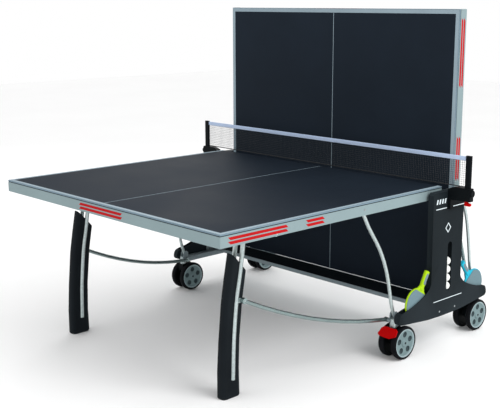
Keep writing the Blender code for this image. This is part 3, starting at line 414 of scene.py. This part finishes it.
def add_box(mesh, low, high, material=0):
    """Box between two opposite corners."""
    size = Vector(high) - Vector(low)
    middle = (Vector(high) + Vector(low)) / 2
    place = Matrix.Translation(middle) @ Matrix.Diagonal((*size, 1.0))
    made = bmesh.ops.create_cube(mesh, size=1.0, matrix=place)
    for face in {face for vert in made["verts"] for face in vert.link_faces}:
        face.material_index = material


def add_disc_stack(mesh, centre, direction, profile, steps=24, material=0):
    """Closed turned body: profile is a list of (along, radius) from one end to the other."""
    direction = Vector(direction).normalized()
    turn = direction.to_track_quat("Z", "Y").to_matrix()
    rings = []
    for along, radius in profile:
        rings.append(
            [Vector(centre) + turn @ Vector((a, b, along)) for a, b in circle(radius, steps)]
        )
    add_loops(mesh, rings, material=material)


# ---------------------------------------------------------------- the two boards


def on_half(half_name, x, along, height):
    """Point of a half at rest: along counts from its net end, height from its playing face."""
    if half_name == "near":
        return Vector((x, NEAR_HIGH.y - along, TABLE_HEIGHT + height))
    return Vector((x, FAR_LOW.y - height, FAR_LOW.z + along))


def board_outline(inset, radius=CORNER, steps=5):
    """Outline of a half at some inset, as (x, along) points."""
    round_off = max(radius - inset, 0.0015)
    shape = rounded_rectangle(
        2 * (HALF_WIDTH - inset), HALF_LENGTH - 2 * inset, round_off, steps
    )
    return [(x, HALF_LENGTH / 2 + along) for x, along in shape]


def make_board(half_name, paints):
    """Board with a light bare rim round a dark face, and a small round along its edges."""
    mesh = bmesh.new()
    levels = (
        (0.0012, -BOARD_THICKNESS),
        (0.0, -BOARD_THICKNESS + 0.0012),
        (0.0, -0.0014),
        (0.0004, -0.0004),
        (0.0014, 0.0),
    )
    rings = [
        [on_half(half_name, x, along, height) for x, along in board_outline(inset)]
        for inset, height in levels
    ]
    face_finish, rim_finish = 0, 1
    add_loops(mesh, rings, material=rim_finish)
    for face in mesh.faces:
        if len(face.verts) > 4:
            face.material_index = face_finish
    board = new_piece(f"{half_name}_board_top", mesh, paints["laminate"], paints["rim"])
    settle(board, f"{half_name}_half", "slate_board", f"{half_name}_board")


def far_end(inset, radius=CORNER):
    """The outline's points beyond the middle of the half, from the right side to the left."""
    return [point for point in board_outline(inset, radius) if point[1] > HALF_LENGTH / 2]


LINE_LOW = 0.00002
LINE_HIGH = 0.0002
LINE_START = 0.0025
BORDER_INSET = 0.0022
BORDER_WIDTH = 0.019


def add_border(mesh, half_name):
    """White border on three sides of a half, open at the net."""
    outer = far_end(BORDER_INSET)
    inner = far_end(BORDER_INSET + BORDER_WIDTH, 0.003)
    outer = [(outer[0][0], LINE_START), *outer, (outer[-1][0], LINE_START)]
    inner = [(inner[0][0], LINE_START), *inner, (inner[-1][0], LINE_START)]
    rings = []
    for outside, inside in zip(outer, inner):
        rings.append(
            [
                on_half(half_name, *outside, LINE_LOW),
                on_half(half_name, *outside, LINE_HIGH),
                on_half(half_name, *inside, LINE_HIGH),
                on_half(half_name, *inside, LINE_LOW),
            ]
        )
    add_loops(mesh, rings)


def add_centre_line(mesh, half_name):
    """Thin line along the middle of a half, from the net to the border."""
    half, end = 0.0015, HALF_LENGTH - BORDER_INSET - BORDER_WIDTH
    corners = [(-half, LINE_START), (half, LINE_START), (half, end), (-half, end)]
    rings = []
    for height in (LINE_LOW, LINE_HIGH):
        rings.append([on_half(half_name, x, along, height) for x, along in corners])
    add_loops(mesh, rings)


def make_court_lines(half_name, paints):
    """The border and the centre line, a coat of paint thick."""
    mesh = bmesh.new()
    add_border(mesh, half_name)
    add_centre_line(mesh, half_name)
    lines = new_piece(f"{half_name}_court_lines", mesh, paints["line"])
    settle(lines, f"{half_name}_half", "white_tape")


def make_groove_shade(half_name, paints):
    """Near-black ring in the groove between board and apron: painted shade in the recess."""
    top, depth = -BOARD_THICKNESS - 0.0002, 0.0024
    mesh = bmesh.new()
    rings = []
    for inset, height in ((0.0016, top), (0.0028, top), (0.0028, top - depth), (0.0016, top - depth)):
        outline = board_outline(inset)
        rings.append([on_half(half_name, x, along, height) for x, along in outline])
    add_loops(mesh, rings, closed=True)
    groove_ring = new_piece(f"{half_name}_board_groove_shade", mesh, paints["groove_shade"])
    settle(groove_ring, f"{half_name}_half", "black_plastic")


APRON_TOP_DEPTH = 0.0095
APRON_BOTTOM_DEPTH = 0.054


def side_point(half_name, side, along, depth, proud):
    """Point on the outer face of an apron's side."""
    return on_half(half_name, side * (HALF_WIDTH + proud), along, -depth)


def end_point(half_name, x, depth, proud):
    """Point on the outer face of the apron at the end line."""
    return on_half(half_name, x, HALF_LENGTH + proud, -depth)


def add_plate(mesh, corners, place, low, high):
    """Thin plate with the given corner points, from low to high off a face."""
    add_loops(mesh, [[place(a, b, height) for a, b in corners] for height in (low, high)])


def stripe(start, end, top, bottom, slant):
    """Corners of a slanted bar between two distances along a face."""
    return [(start, bottom), (end - slant, bottom), (end, top), (start + slant, top)]


def make_apron_prints(half_name, paints):
    """Pairs of plain red bars on the end and side aprons."""

    def on_end(x, depth, proud):
        return end_point(half_name, x, depth, proud)

    def on_right(along, depth, proud):
        return side_point(half_name, 1, along, depth, proud)

    def on_left(along, depth, proud):
        return side_point(half_name, -1, along, depth, proud)

    long_bar, long_start, slant, coat = 0.315, HALF_LENGTH - 0.355, 0.012, 0.00025
    short_start, short_end = (0.800, 0.910) if half_name == "near" else (0.575, 0.785)
    bars = [(on_end, -long_bar / 2, long_bar / 2)]
    for place in (on_right, on_left):
        bars.append((place, long_start, long_start + long_bar))
        bars.append((place, short_start, short_end))
    mesh = bmesh.new()
    for place, start, end in bars:
        for top, bottom in ((0.0170, 0.0285), (0.0335, 0.0450)):
            add_plate(mesh, stripe(start, end, top, bottom, slant), place, COAT_LOW, coat)
    prints = new_piece(f"{half_name}_apron_bars", mesh, paints["red_print"])
    settle(prints, f"{half_name}_half", "red_plastic")


def near_corner(outline, side, along_end):
    """The part of an outline that lies round one corner of a half."""
    reach = 0.030
    return [
        (x, along)
        for x, along in outline
        if x * side > HALF_WIDTH - reach and abs(along - along_end * HALF_LENGTH) < reach
    ]


def make_apron_caps(half_name, paints):
    """Thin corner caps round the four corners of the apron."""
    proud, margin = 0.0006, 0.0008
    outside = board_outline(-proud, CORNER + proud)
    inside = board_outline(0.0003)
    mesh = bmesh.new()
    for side in (-1, 1):
        for along_end in (0, 1):
            outer = near_corner(outside, side, along_end)
            inner = near_corner(inside, side, along_end)
            loop = outer + inner[::-1]
            rings = []
            for depth in (APRON_TOP_DEPTH + margin, APRON_BOTTOM_DEPTH - margin):
                rings.append([on_half(half_name, x, along, -depth) for x, along in loop])
            add_loops(mesh, rings)
    caps = new_piece(f"{half_name}_apron_caps", mesh, paints["apron"])
    settle(caps, f"{half_name}_half", "apron_paint")


def make_apron_rivets(half_name, paints):
    """Rivet head on each side of the apron, over the lift arm's pin."""
    along, depth, radius = 0.550, 0.030, 0.0055
    profile = [(0.0, radius), (0.0010, radius * 0.92), (0.0016, radius * 0.5)]
    mesh = bmesh.new()
    for side in (-1, 1):
        centre = side_point(half_name, side, along, depth, 0.0001)
        add_disc_stack(mesh, centre, (side, 0, 0), profile, 18)
    rivets = new_piece(f"{half_name}_apron_rivets", mesh, paints["bolt"], smooth=True)
    settle(rivets, f"{half_name}_half", "steel")


# ---------------------------------------------------------------- the net


def make_net(paints):
    """Open mesh of fine strings between the posts, tied at the tape and at the bottom cord."""
    pitch, string = 0.0098, 0.0009
    low, high = NET_LOW.z, NET_HIGH.z
    columns = round((NET_HIGH.x - NET_LOW.x) / pitch)
    rows = round((high - low) / pitch)
    width = NET_HIGH.x - NET_LOW.x - string
    height = high - low - string
    mesh = bmesh.new()
    half = string / 2
    for column in range(columns + 1):
        x = NET_LOW.x + half + width * column / columns
        add_box(mesh, (x - half, NET_Y - half, low), (x + half, NET_Y + half, high))
    for row in range(rows + 1):
        z = low + half + height * row / rows
        add_box(
            mesh,
            (NET_LOW.x, NET_Y - half * 0.8, z - half * 0.8),
            (NET_HIGH.x, NET_Y + half * 0.8, z + half * 0.8),
        )
    net = new_piece("net_mesh", mesh, paints["string"])
    settle(net, "chassis", "net_mesh", "net")


def make_net_tape(paints):
    """Folded white tape over the top of the net, with a faint ripple along it."""
    steps, thickness, fold_radius = 60, 0.0046, 0.0021
    mesh = bmesh.new()
    rings = []
    section = rounded_rectangle(thickness, TAPE_HIGH.z - TAPE_LOW.z, fold_radius, 4)
    middle = (TAPE_LOW.z + TAPE_HIGH.z) / 2
    for step in range(steps + 1):
        x = TAPE_LOW.x + (TAPE_HIGH.x - TAPE_LOW.x) * step / steps
        ripple = 0.0002 * math.sin(step * 1.7) + 0.00015 * math.sin(step * 0.6 + 1.0)
        rings.append([Vector((x, NET_Y + ripple + a, middle + b)) for a, b in section])
    add_loops(mesh, rings)
    tape = new_piece("net_tape_band", mesh, paints["tape"], smooth=True, angle=60)
    settle(tape, "chassis", "white_tape", "net_tape")


def make_tape_stitches(paints):
    """Row of stitches near the lower edge of the tape, on both sides."""
    stitch, gap, thread = 0.004, 0.003, 0.0006
    from_end, from_bottom, from_middle = 0.002, 0.003, 0.0024
    mesh = bmesh.new()
    count = int((TAPE_HIGH.x - TAPE_LOW.x) / (stitch + gap))
    z = TAPE_LOW.z + from_bottom
    for index in range(count):
        x = TAPE_LOW.x + from_end + index * (stitch + gap)
        for side in (-1, 1):
            y = NET_Y + side * from_middle
            add_box(mesh, (x, y - thread / 2, z), (x + stitch, y + thread / 2, z + thread))
    stitches = new_piece("net_tape_stitching", mesh, paints["white_print"])
    settle(stitches, "chassis", "white_tape")


# ---------------------------------------------------------------- side panels and bracket


def on_face(face, side):
    """Turns (y, z, height off the face) into a point on a side panel's outer face at X = face."""
    return lambda y, z, proud: Vector((face + side * proud, NET_Y + y, z))


def add_slanted_bars(mesh, place):
    """Row of four short slanted bars near the top of the panel."""
    low, high, width, lean, pitch = 0.690, 0.712, 0.010, 0.005, 0.020
    for index in range(4):
        start = -0.098 + index * pitch
        corners = [
            (start, low),
            (start + width, low),
            (start + width + lean, high),
            (start + lean, high),
        ]
        add_plate(mesh, corners, place, COAT_LOW, COAT_HIGH)


def add_diamond(mesh, place):
    """Plain open diamond on the panel's column."""
    middle, half_width, half_height, inner_share = 0.570, 0.022, 0.025, 0.72
    corners = [(0.0, -half_height), (half_width, 0.0), (0.0, half_height), (-half_width, 0.0)]
    rings = []
    for share, proud in (
        (1.0, COAT_LOW),
        (1.0, COAT_HIGH),
        (inner_share, COAT_HIGH),
        (inner_share, COAT_LOW),
    ):
        rings.append([place(y * share, middle + up * share, proud) for y, up in corners])
    add_loops(mesh, rings, closed=True)


def make_panel_prints(side_name, side, paints):
    """White lines and plain marks on the outer faces of a side panel and of the net's housing."""
    panel = on_face(side * PANEL_HIGH.x, side)
    housing = on_face(side * (PANEL_HIGH.x + HOUSING_DEPTH), side)
    mesh = bmesh.new()
    for place, start, end, low, high in (
        (panel, -0.099, -0.018, 0.6650, 0.6690),
        (housing, 0.009, 0.100, 0.6710, 0.6750),
        (panel, -0.093, 0.131, 0.2245, 0.2280),
    ):
        corners = [(start, low), (end, low), (end, high), (start, high)]
        add_plate(mesh, corners, place, COAT_LOW, COAT_HIGH)
    add_slanted_bars(mesh, panel)
    add_diamond(mesh, panel)
    prints = new_piece(f"panel_lines_{side_name}", mesh, paints["white_print"])
    settle(prints, "chassis", "white_tape")


def make_panel_screws(side_name, side, paints):
    """Two screw heads at the foot of a side panel."""
    place = on_face(side * PANEL_HIGH.x, side)
    profile = [(0.0001, 0.0050), (0.0012, 0.0046), (0.0018, 0.0030)]
    mesh = bmesh.new()
    for y, z in ((-0.043, 0.172), (0.078, 0.172)):
        add_disc_stack(mesh, place(y, z, 0.0), (side, 0, 0), profile, 18)
    screws = new_piece(f"panel_screws_{side_name}", mesh, paints["bolt"], smooth=True)
    settle(screws, "chassis", "steel")


def make_caster_sleeves(paints):
    """Bright round sleeves at the ends of the side rails, over the swivel stems."""
    radius, height = 0.0163, 0.0415
    profile = [
        (0.0001, radius - 0.001),
        (0.0010, radius),
        (height - 0.0015, radius),
        (height, radius - 0.0015),
    ]
    mesh = bmesh.new()
    for half_name, _ in HALVES:
        for side_name, _ in SIDES:
            rail_low, rail_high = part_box(f"side_rail_{side_name}")
            fork_low, fork_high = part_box(f"caster_{half_name}_{side_name}")
            near = half_name == "near"
            y = rail_low.y + radius if near else rail_high.y - radius
            centre = Vector(((fork_low.x + fork_high.x) / 2, y, rail_low.z))
            add_disc_stack(mesh, centre, (0, 0, 1), profile, 28)
    sleeves = new_piece("caster_sleeves", mesh, paints["steel"], smooth=True)
    settle(sleeves, "chassis", "steel")


# ---------------------------------------------------------------- wheels


def add_turned_ring(mesh, centre, axis, profile, steps):
    """Closed ring turned about an axis along X; profile is a closed loop of (along, radius)."""
    rings = []
    for step in range(steps):
        angle = math.tau * step / steps
        outward = Vector((0, math.cos(angle), math.sin(angle)))
        rings.append([centre + axis * along + outward * radius for along, radius in profile])
    add_loops(mesh, rings, closed=True)


def make_wheel(node, body, outward, paints):
    """Twin-caster wheel: a rounded tread round a stepped hub."""
    low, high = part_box(node)
    centre = (low + high) / 2
    radius = (high.z - low.z) / 2
    half = (high.x - low.x) / 2
    axis = Vector((outward, 0, 0))
    rim = radius * 0.85
    tread = [
        (-half, rim),
        (-half, radius - 0.0065),
        (-half + 0.0020, radius - 0.0025),
        (-half + 0.0060, radius - 0.0004),
        (-half + 0.0100, radius),
        (half - 0.0100, radius),
        (half - 0.0060, radius - 0.0004),
        (half - 0.0020, radius - 0.0025),
        (half, radius - 0.0065),
        (half - 0.0004, rim + 0.0015),
        (half - 0.0020, rim),
    ]
    mesh = bmesh.new()
    add_turned_ring(mesh, centre, axis, tread, 56)
    tyre = new_piece(f"{node}_tyre", mesh, paints["tyre"], smooth=True, angle=50)
    settle(tyre, body, "wheel_plastic", node)
    hub = make_hub(node, centre, axis, rim - 0.0003, half, paints)
    settle(hub, body, "wheel_plastic")


def paint_hub(mesh, centre, axis, rim):
    """Dark inner half, and a bright ring round the outer face that is a painted highlight; the rest
    keeps the hub's colour.
    """
    dark, bright, ring_width = 1, 3, 0.007
    for face in mesh.faces:
        offset = face.calc_center_median() - centre
        if offset.dot(axis) < 0:
            face.material_index = dark
        elif offset.yz.length > rim - ring_width:
            face.material_index = bright


def make_hub(node, centre, axis, rim, half, paints):
    """Hub face with five round pockets between its spokes, coloured dark as painted shade in the
    recesses.
    """
    bore = 0.0056
    profile = [
        (half - 0.0015, rim),
        (half - 0.0015, rim - 0.004),
        (half - 0.0055, rim - 0.006),
        (half - 0.0065, 0.021),
        (half - 0.0015, 0.017),
        (half - 0.0008, 0.015),
        (half - 0.0008, bore),
        (-half + 0.001, bore),
        (-half + 0.001, 0.020),
        (-half + 0.006, 0.024),
        (-half + 0.006, rim - 0.005),
        (-half + 0.001, rim - 0.002),
        (-half + 0.001, rim),
    ]
    mesh = bmesh.new()
    add_turned_ring(mesh, centre, axis, profile, 60)
    paint_hub(mesh, centre, axis, rim)
    finishes = [paints["hub"], paints["black"], paints["hub_painted_shade"], paints["hub_rim_painted_highlight"]]
    hub = new_piece(f"{node}_hub", mesh, *finishes, smooth=True, angle=40)
    pockets, pocket_distance, pocket_painted_shade = 5, 0.0400, 2
    pocket = [
        (-half + 0.011, 0.0030),
        (-half + 0.012, 0.0060),
        (half - 0.011, 0.0125),
        (half + 0.002, 0.0155),
    ]
    cutters = bmesh.new()
    for index in range(pockets):
        angle = math.tau * (index + 0.25) / pockets
        offset = Vector((0, math.cos(angle), math.sin(angle))) * pocket_distance
        add_disc_stack(cutters, centre + offset, axis, pocket, 24, material=pocket_painted_shade)
    cut_with(hub, new_piece("pocket_tool", cutters, *finishes))
    return hub


def cut_with(target, tool):
    """Cuts a helper's shape out of a piece and removes the helper."""
    change = target.modifiers.new("cut", "BOOLEAN")
    change.operation = "DIFFERENCE"
    change.solver = "EXACT"
    change.object = tool
    bpy.context.view_layer.update()
    graph = bpy.context.evaluated_depsgraph_get()
    changed = bpy.data.meshes.new_from_object(target.evaluated_get(graph))
    target.modifiers.clear()
    target.data = changed
    bpy.data.objects.remove(tool)


# ---------------------------------------------------------------- bats and balls


# Sizes of a bat; each spread is the angle left free on either side of the handle
BLADE_SPREAD = math.radians(20)
RUBBER_SPREAD = math.radians(34)
BLADE_RADIUS = 0.0745
RUBBER_RADIUS = 0.0705
CORE_HALF = 0.0040
RUBBER_THICKNESS = 0.0031


class BatFrame:
    """A bat's own axes: along the handle, across the blade and sideways through its thickness."""

    def __init__(self, node, blade, toward):
        low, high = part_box(node)
        self.centre = Vector(((low.x + high.x) / 2, NET_Y + blade[0], blade[1]))
        self.along = Vector((0, toward[0] - blade[0], toward[1] - blade[1])).normalized()
        self.across = Vector((0, -self.along.z, self.along.y))
        self.sideways = Vector((1, 0, 0))

    def at(self, along, across, sideways):
        flat = self.centre + self.along * along + self.across * across
        return flat + self.sideways * sideways


def open_circle(radius, spread, steps=56):
    """Points round a circle that leave out a spread on each side of the handle."""
    points = []
    for step in range(steps + 1):
        angle = spread + (math.tau - 2 * spread) * step / steps
        points.append((math.cos(angle) * radius, math.sin(angle) * radius))
    return points


def add_blade(mesh, bat):
    """Wooden core of the blade, with a neck that widens toward the handle."""
    neck = [
        (BLADE_RADIUS + 0.010, -0.0165),
        (BLADE_RADIUS + 0.014, 0.0),
        (BLADE_RADIUS + 0.010, 0.0165),
    ]
    outline = open_circle(BLADE_RADIUS, BLADE_SPREAD) + neck
    edge = CORE_HALF - 0.0012
    rings = []
    for share, height in ((0.985, -CORE_HALF), (1.0, -edge), (1.0, edge), (0.985, CORE_HALF)):
        rings.append([bat.at(a * share, b * share, height) for a, b in outline])
    add_loops(mesh, rings)


def add_rubbers(mesh, bat):
    """Rubber sheet on each side of the blade."""
    face = open_circle(RUBBER_RADIUS, RUBBER_SPREAD)
    for side in (-1, 1):
        rings = []
        for share, height in (
            (1.0, CORE_HALF + 0.00005),
            (1.0, CORE_HALF + RUBBER_THICKNESS - 0.0008),
            (0.988, CORE_HALF + RUBBER_THICKNESS),
        ):
            rings.append([bat.at(a * share, b * share, side * height) for a, b in face])
        add_loops(mesh, rings)


def add_handle(mesh, bat):
    """Handle with a waist; each level is (along, half width, half thickness)."""
    levels = (
        (0.070, 0.0125, 0.0070),
        (0.076, 0.0138, 0.0085),
        (0.098, 0.0128, 0.0098),
        (0.128, 0.0125, 0.0100),
        (0.150, 0.0138, 0.0102),
        (0.1590, 0.0140, 0.0100),
        (0.1610, 0.0125, 0.0085),
    )
    rings = []
    for along, half_width, half_thick in levels:
        section = rounded_rectangle(2 * half_thick, 2 * half_width, half_thick * 0.85, 4)
        rings.append([bat.at(along, across, sideways) for sideways, across in section])
    add_loops(mesh, rings)


def add_grip_inlays(mesh, bat):
    """Inlay along each side of the handle; each level is (along, half width)."""
    inner, outer, taper = 0.0092, 0.01035, 0.9
    levels = ((0.096, 0.0050), (0.106, 0.0080), (0.142, 0.0082), (0.151, 0.0045))
    for side in (-1, 1):
        rings = []
        for along, half_width in levels:
            section = (
                (-half_width, inner),
                (half_width, inner),
                (half_width * taper, outer),
                (-half_width * taper, outer),
            )
            rings.append([bat.at(along, across, side * height) for across, height in section])
        add_loops(mesh, rings)


def make_bat(node, blade, toward, edge_paint, paints):
    """Moulded bat: coloured core and handle, grey rubbers and grey inlays."""
    bat = BatFrame(node, blade, toward)
    slot = "lime_bat" if node == "bat_near" else "cyan_bat"
    for part, add_part, paint, angle in (
        ("core", add_blade, edge_paint, 35.0),
        ("rubbers", add_rubbers, paints["rubber_grey"], 35.0),
        ("handle", add_handle, edge_paint, 50.0),
        ("grip_inlay", add_grip_inlays, paints["grip"], 35.0),
    ):
        mesh = bmesh.new()
        add_part(mesh, bat)
        piece = new_piece(f"{node}_{part}", mesh, paint, smooth=True, angle=angle)
        replaced = [node] if part == "core" else []
        settle(piece, node, slot, *replaced)


def make_balls(paints):
    """Spare balls in their channel, a trace smaller than the CAD's so that they stay inside it."""
    count, less = 4, 0.00005
    for index in range(1, count + 1):
        node = f"ball_{index}"
        low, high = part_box(node)
        centre = (low + high) / 2
        radius = (high.z - low.z) / 2 - less
        mesh = bmesh.new()
        place = Matrix.Translation(centre)
        bmesh.ops.create_uvsphere(
            mesh, u_segments=40, v_segments=24, radius=radius, matrix=place
        )
        ball = new_piece(f"{node}_shell", mesh, paints["ball"], smooth=True, angle=180)
        settle(ball, "chassis", "white_ball", node)


# ---------------------------------------------------------------- CAD nodes that stay


def repaint(node, paint, smooth_angle=None):
    """New material for a CAD node, with its round faces shaded smooth where it has any."""
    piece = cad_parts[node]
    piece.data.materials.clear()
    piece.data.materials.append(paint)
    if smooth_angle:
        piece.data.shade_smooth()
        piece.data.set_sharp_from_angle(angle=math.radians(smooth_angle))


def repaint_frame(paints):
    """Paints of the CAD nodes; shading stays sharp at edges above the angle given."""
    round_angle, middle_angle, low_angle = 42, 30, 25
    repaint("cross_beam", paints["frame"])
    # The beam's cover takes the near-black paint: painted shade under the halves
    repaint("cross_beam_cover", paints["cover"])
    repaint("net_cord", paints["cord"], round_angle)
    for side_name, _ in SIDES:
        repaint(f"side_rail_{side_name}", paints["frame"], round_angle)
        repaint(f"side_post_{side_name}", paints["steel"])
        repaint(f"side_panel_{side_name}", paints["charcoal"], low_angle)
        repaint(f"net_bracket_{side_name}", paints["black"], low_angle)
        repaint(f"net_post_{side_name}", paints["post"], middle_angle)
        repaint(f"tension_knob_{side_name}", paints["black"], round_angle)
        repaint(f"lock_trigger_{side_name}", paints["red"])
    for half_name, _ in HALVES:
        repaint(f"{half_name}_apron", paints["apron"])
        repaint(f"{half_name}_guide_shaft", paints["steel"], round_angle)
        repaint(f"{half_name}_leg_frame", paints["steel"], round_angle)
        for side_name, _ in SIDES:
            repaint(f"{half_name}_arm_{side_name}", paints["steel"], round_angle)
            # Stays get the darkened zinc: painted shade
            repaint(f"{half_name}_stay_{side_name}", paints["stay"], round_angle)
            repaint(f"{half_name}_leg_pad_{side_name}", paints["pad"], round_angle)
            repaint(f"caster_{half_name}_{side_name}", paints["black"], middle_angle)
    for node in ("brake_pedal_near_right", "brake_pedal_far_left"):
        repaint(node, paints["red"])


# ---------------------------------------------------------------- build


def main():
    paints = make_paints()
    place_camera()
    light_studio()
    lay_floor()
    repaint_frame(paints)
    for half_name, _ in HALVES:
        make_board(half_name, paints)
        make_court_lines(half_name, paints)
        make_groove_shade(half_name, paints)
        make_apron_prints(half_name, paints)
        make_apron_caps(half_name, paints)
        make_apron_rivets(half_name, paints)
        for side_name, side in SIDES:
            for wheel_name, outward in (("inner", -side), ("outer", side)):
                node = f"wheel_{half_name}_{side_name}_{wheel_name}"
                make_wheel(node, node, outward, paints)
    make_net(paints)
    make_net_tape(paints)
    make_tape_stitches(paints)
    for side_name, side in SIDES:
        make_panel_prints(side_name, side, paints)
        make_panel_screws(side_name, side, paints)
    make_caster_sleeves(paints)
    make_bat("bat_near", (-0.212, 0.244), (-0.137, 0.372), paints["lime"], paints)
    make_bat("bat_far", (0.245, 0.247), (0.135, 0.385), paints["cyan"], paints)
    make_balls(paints)


main()
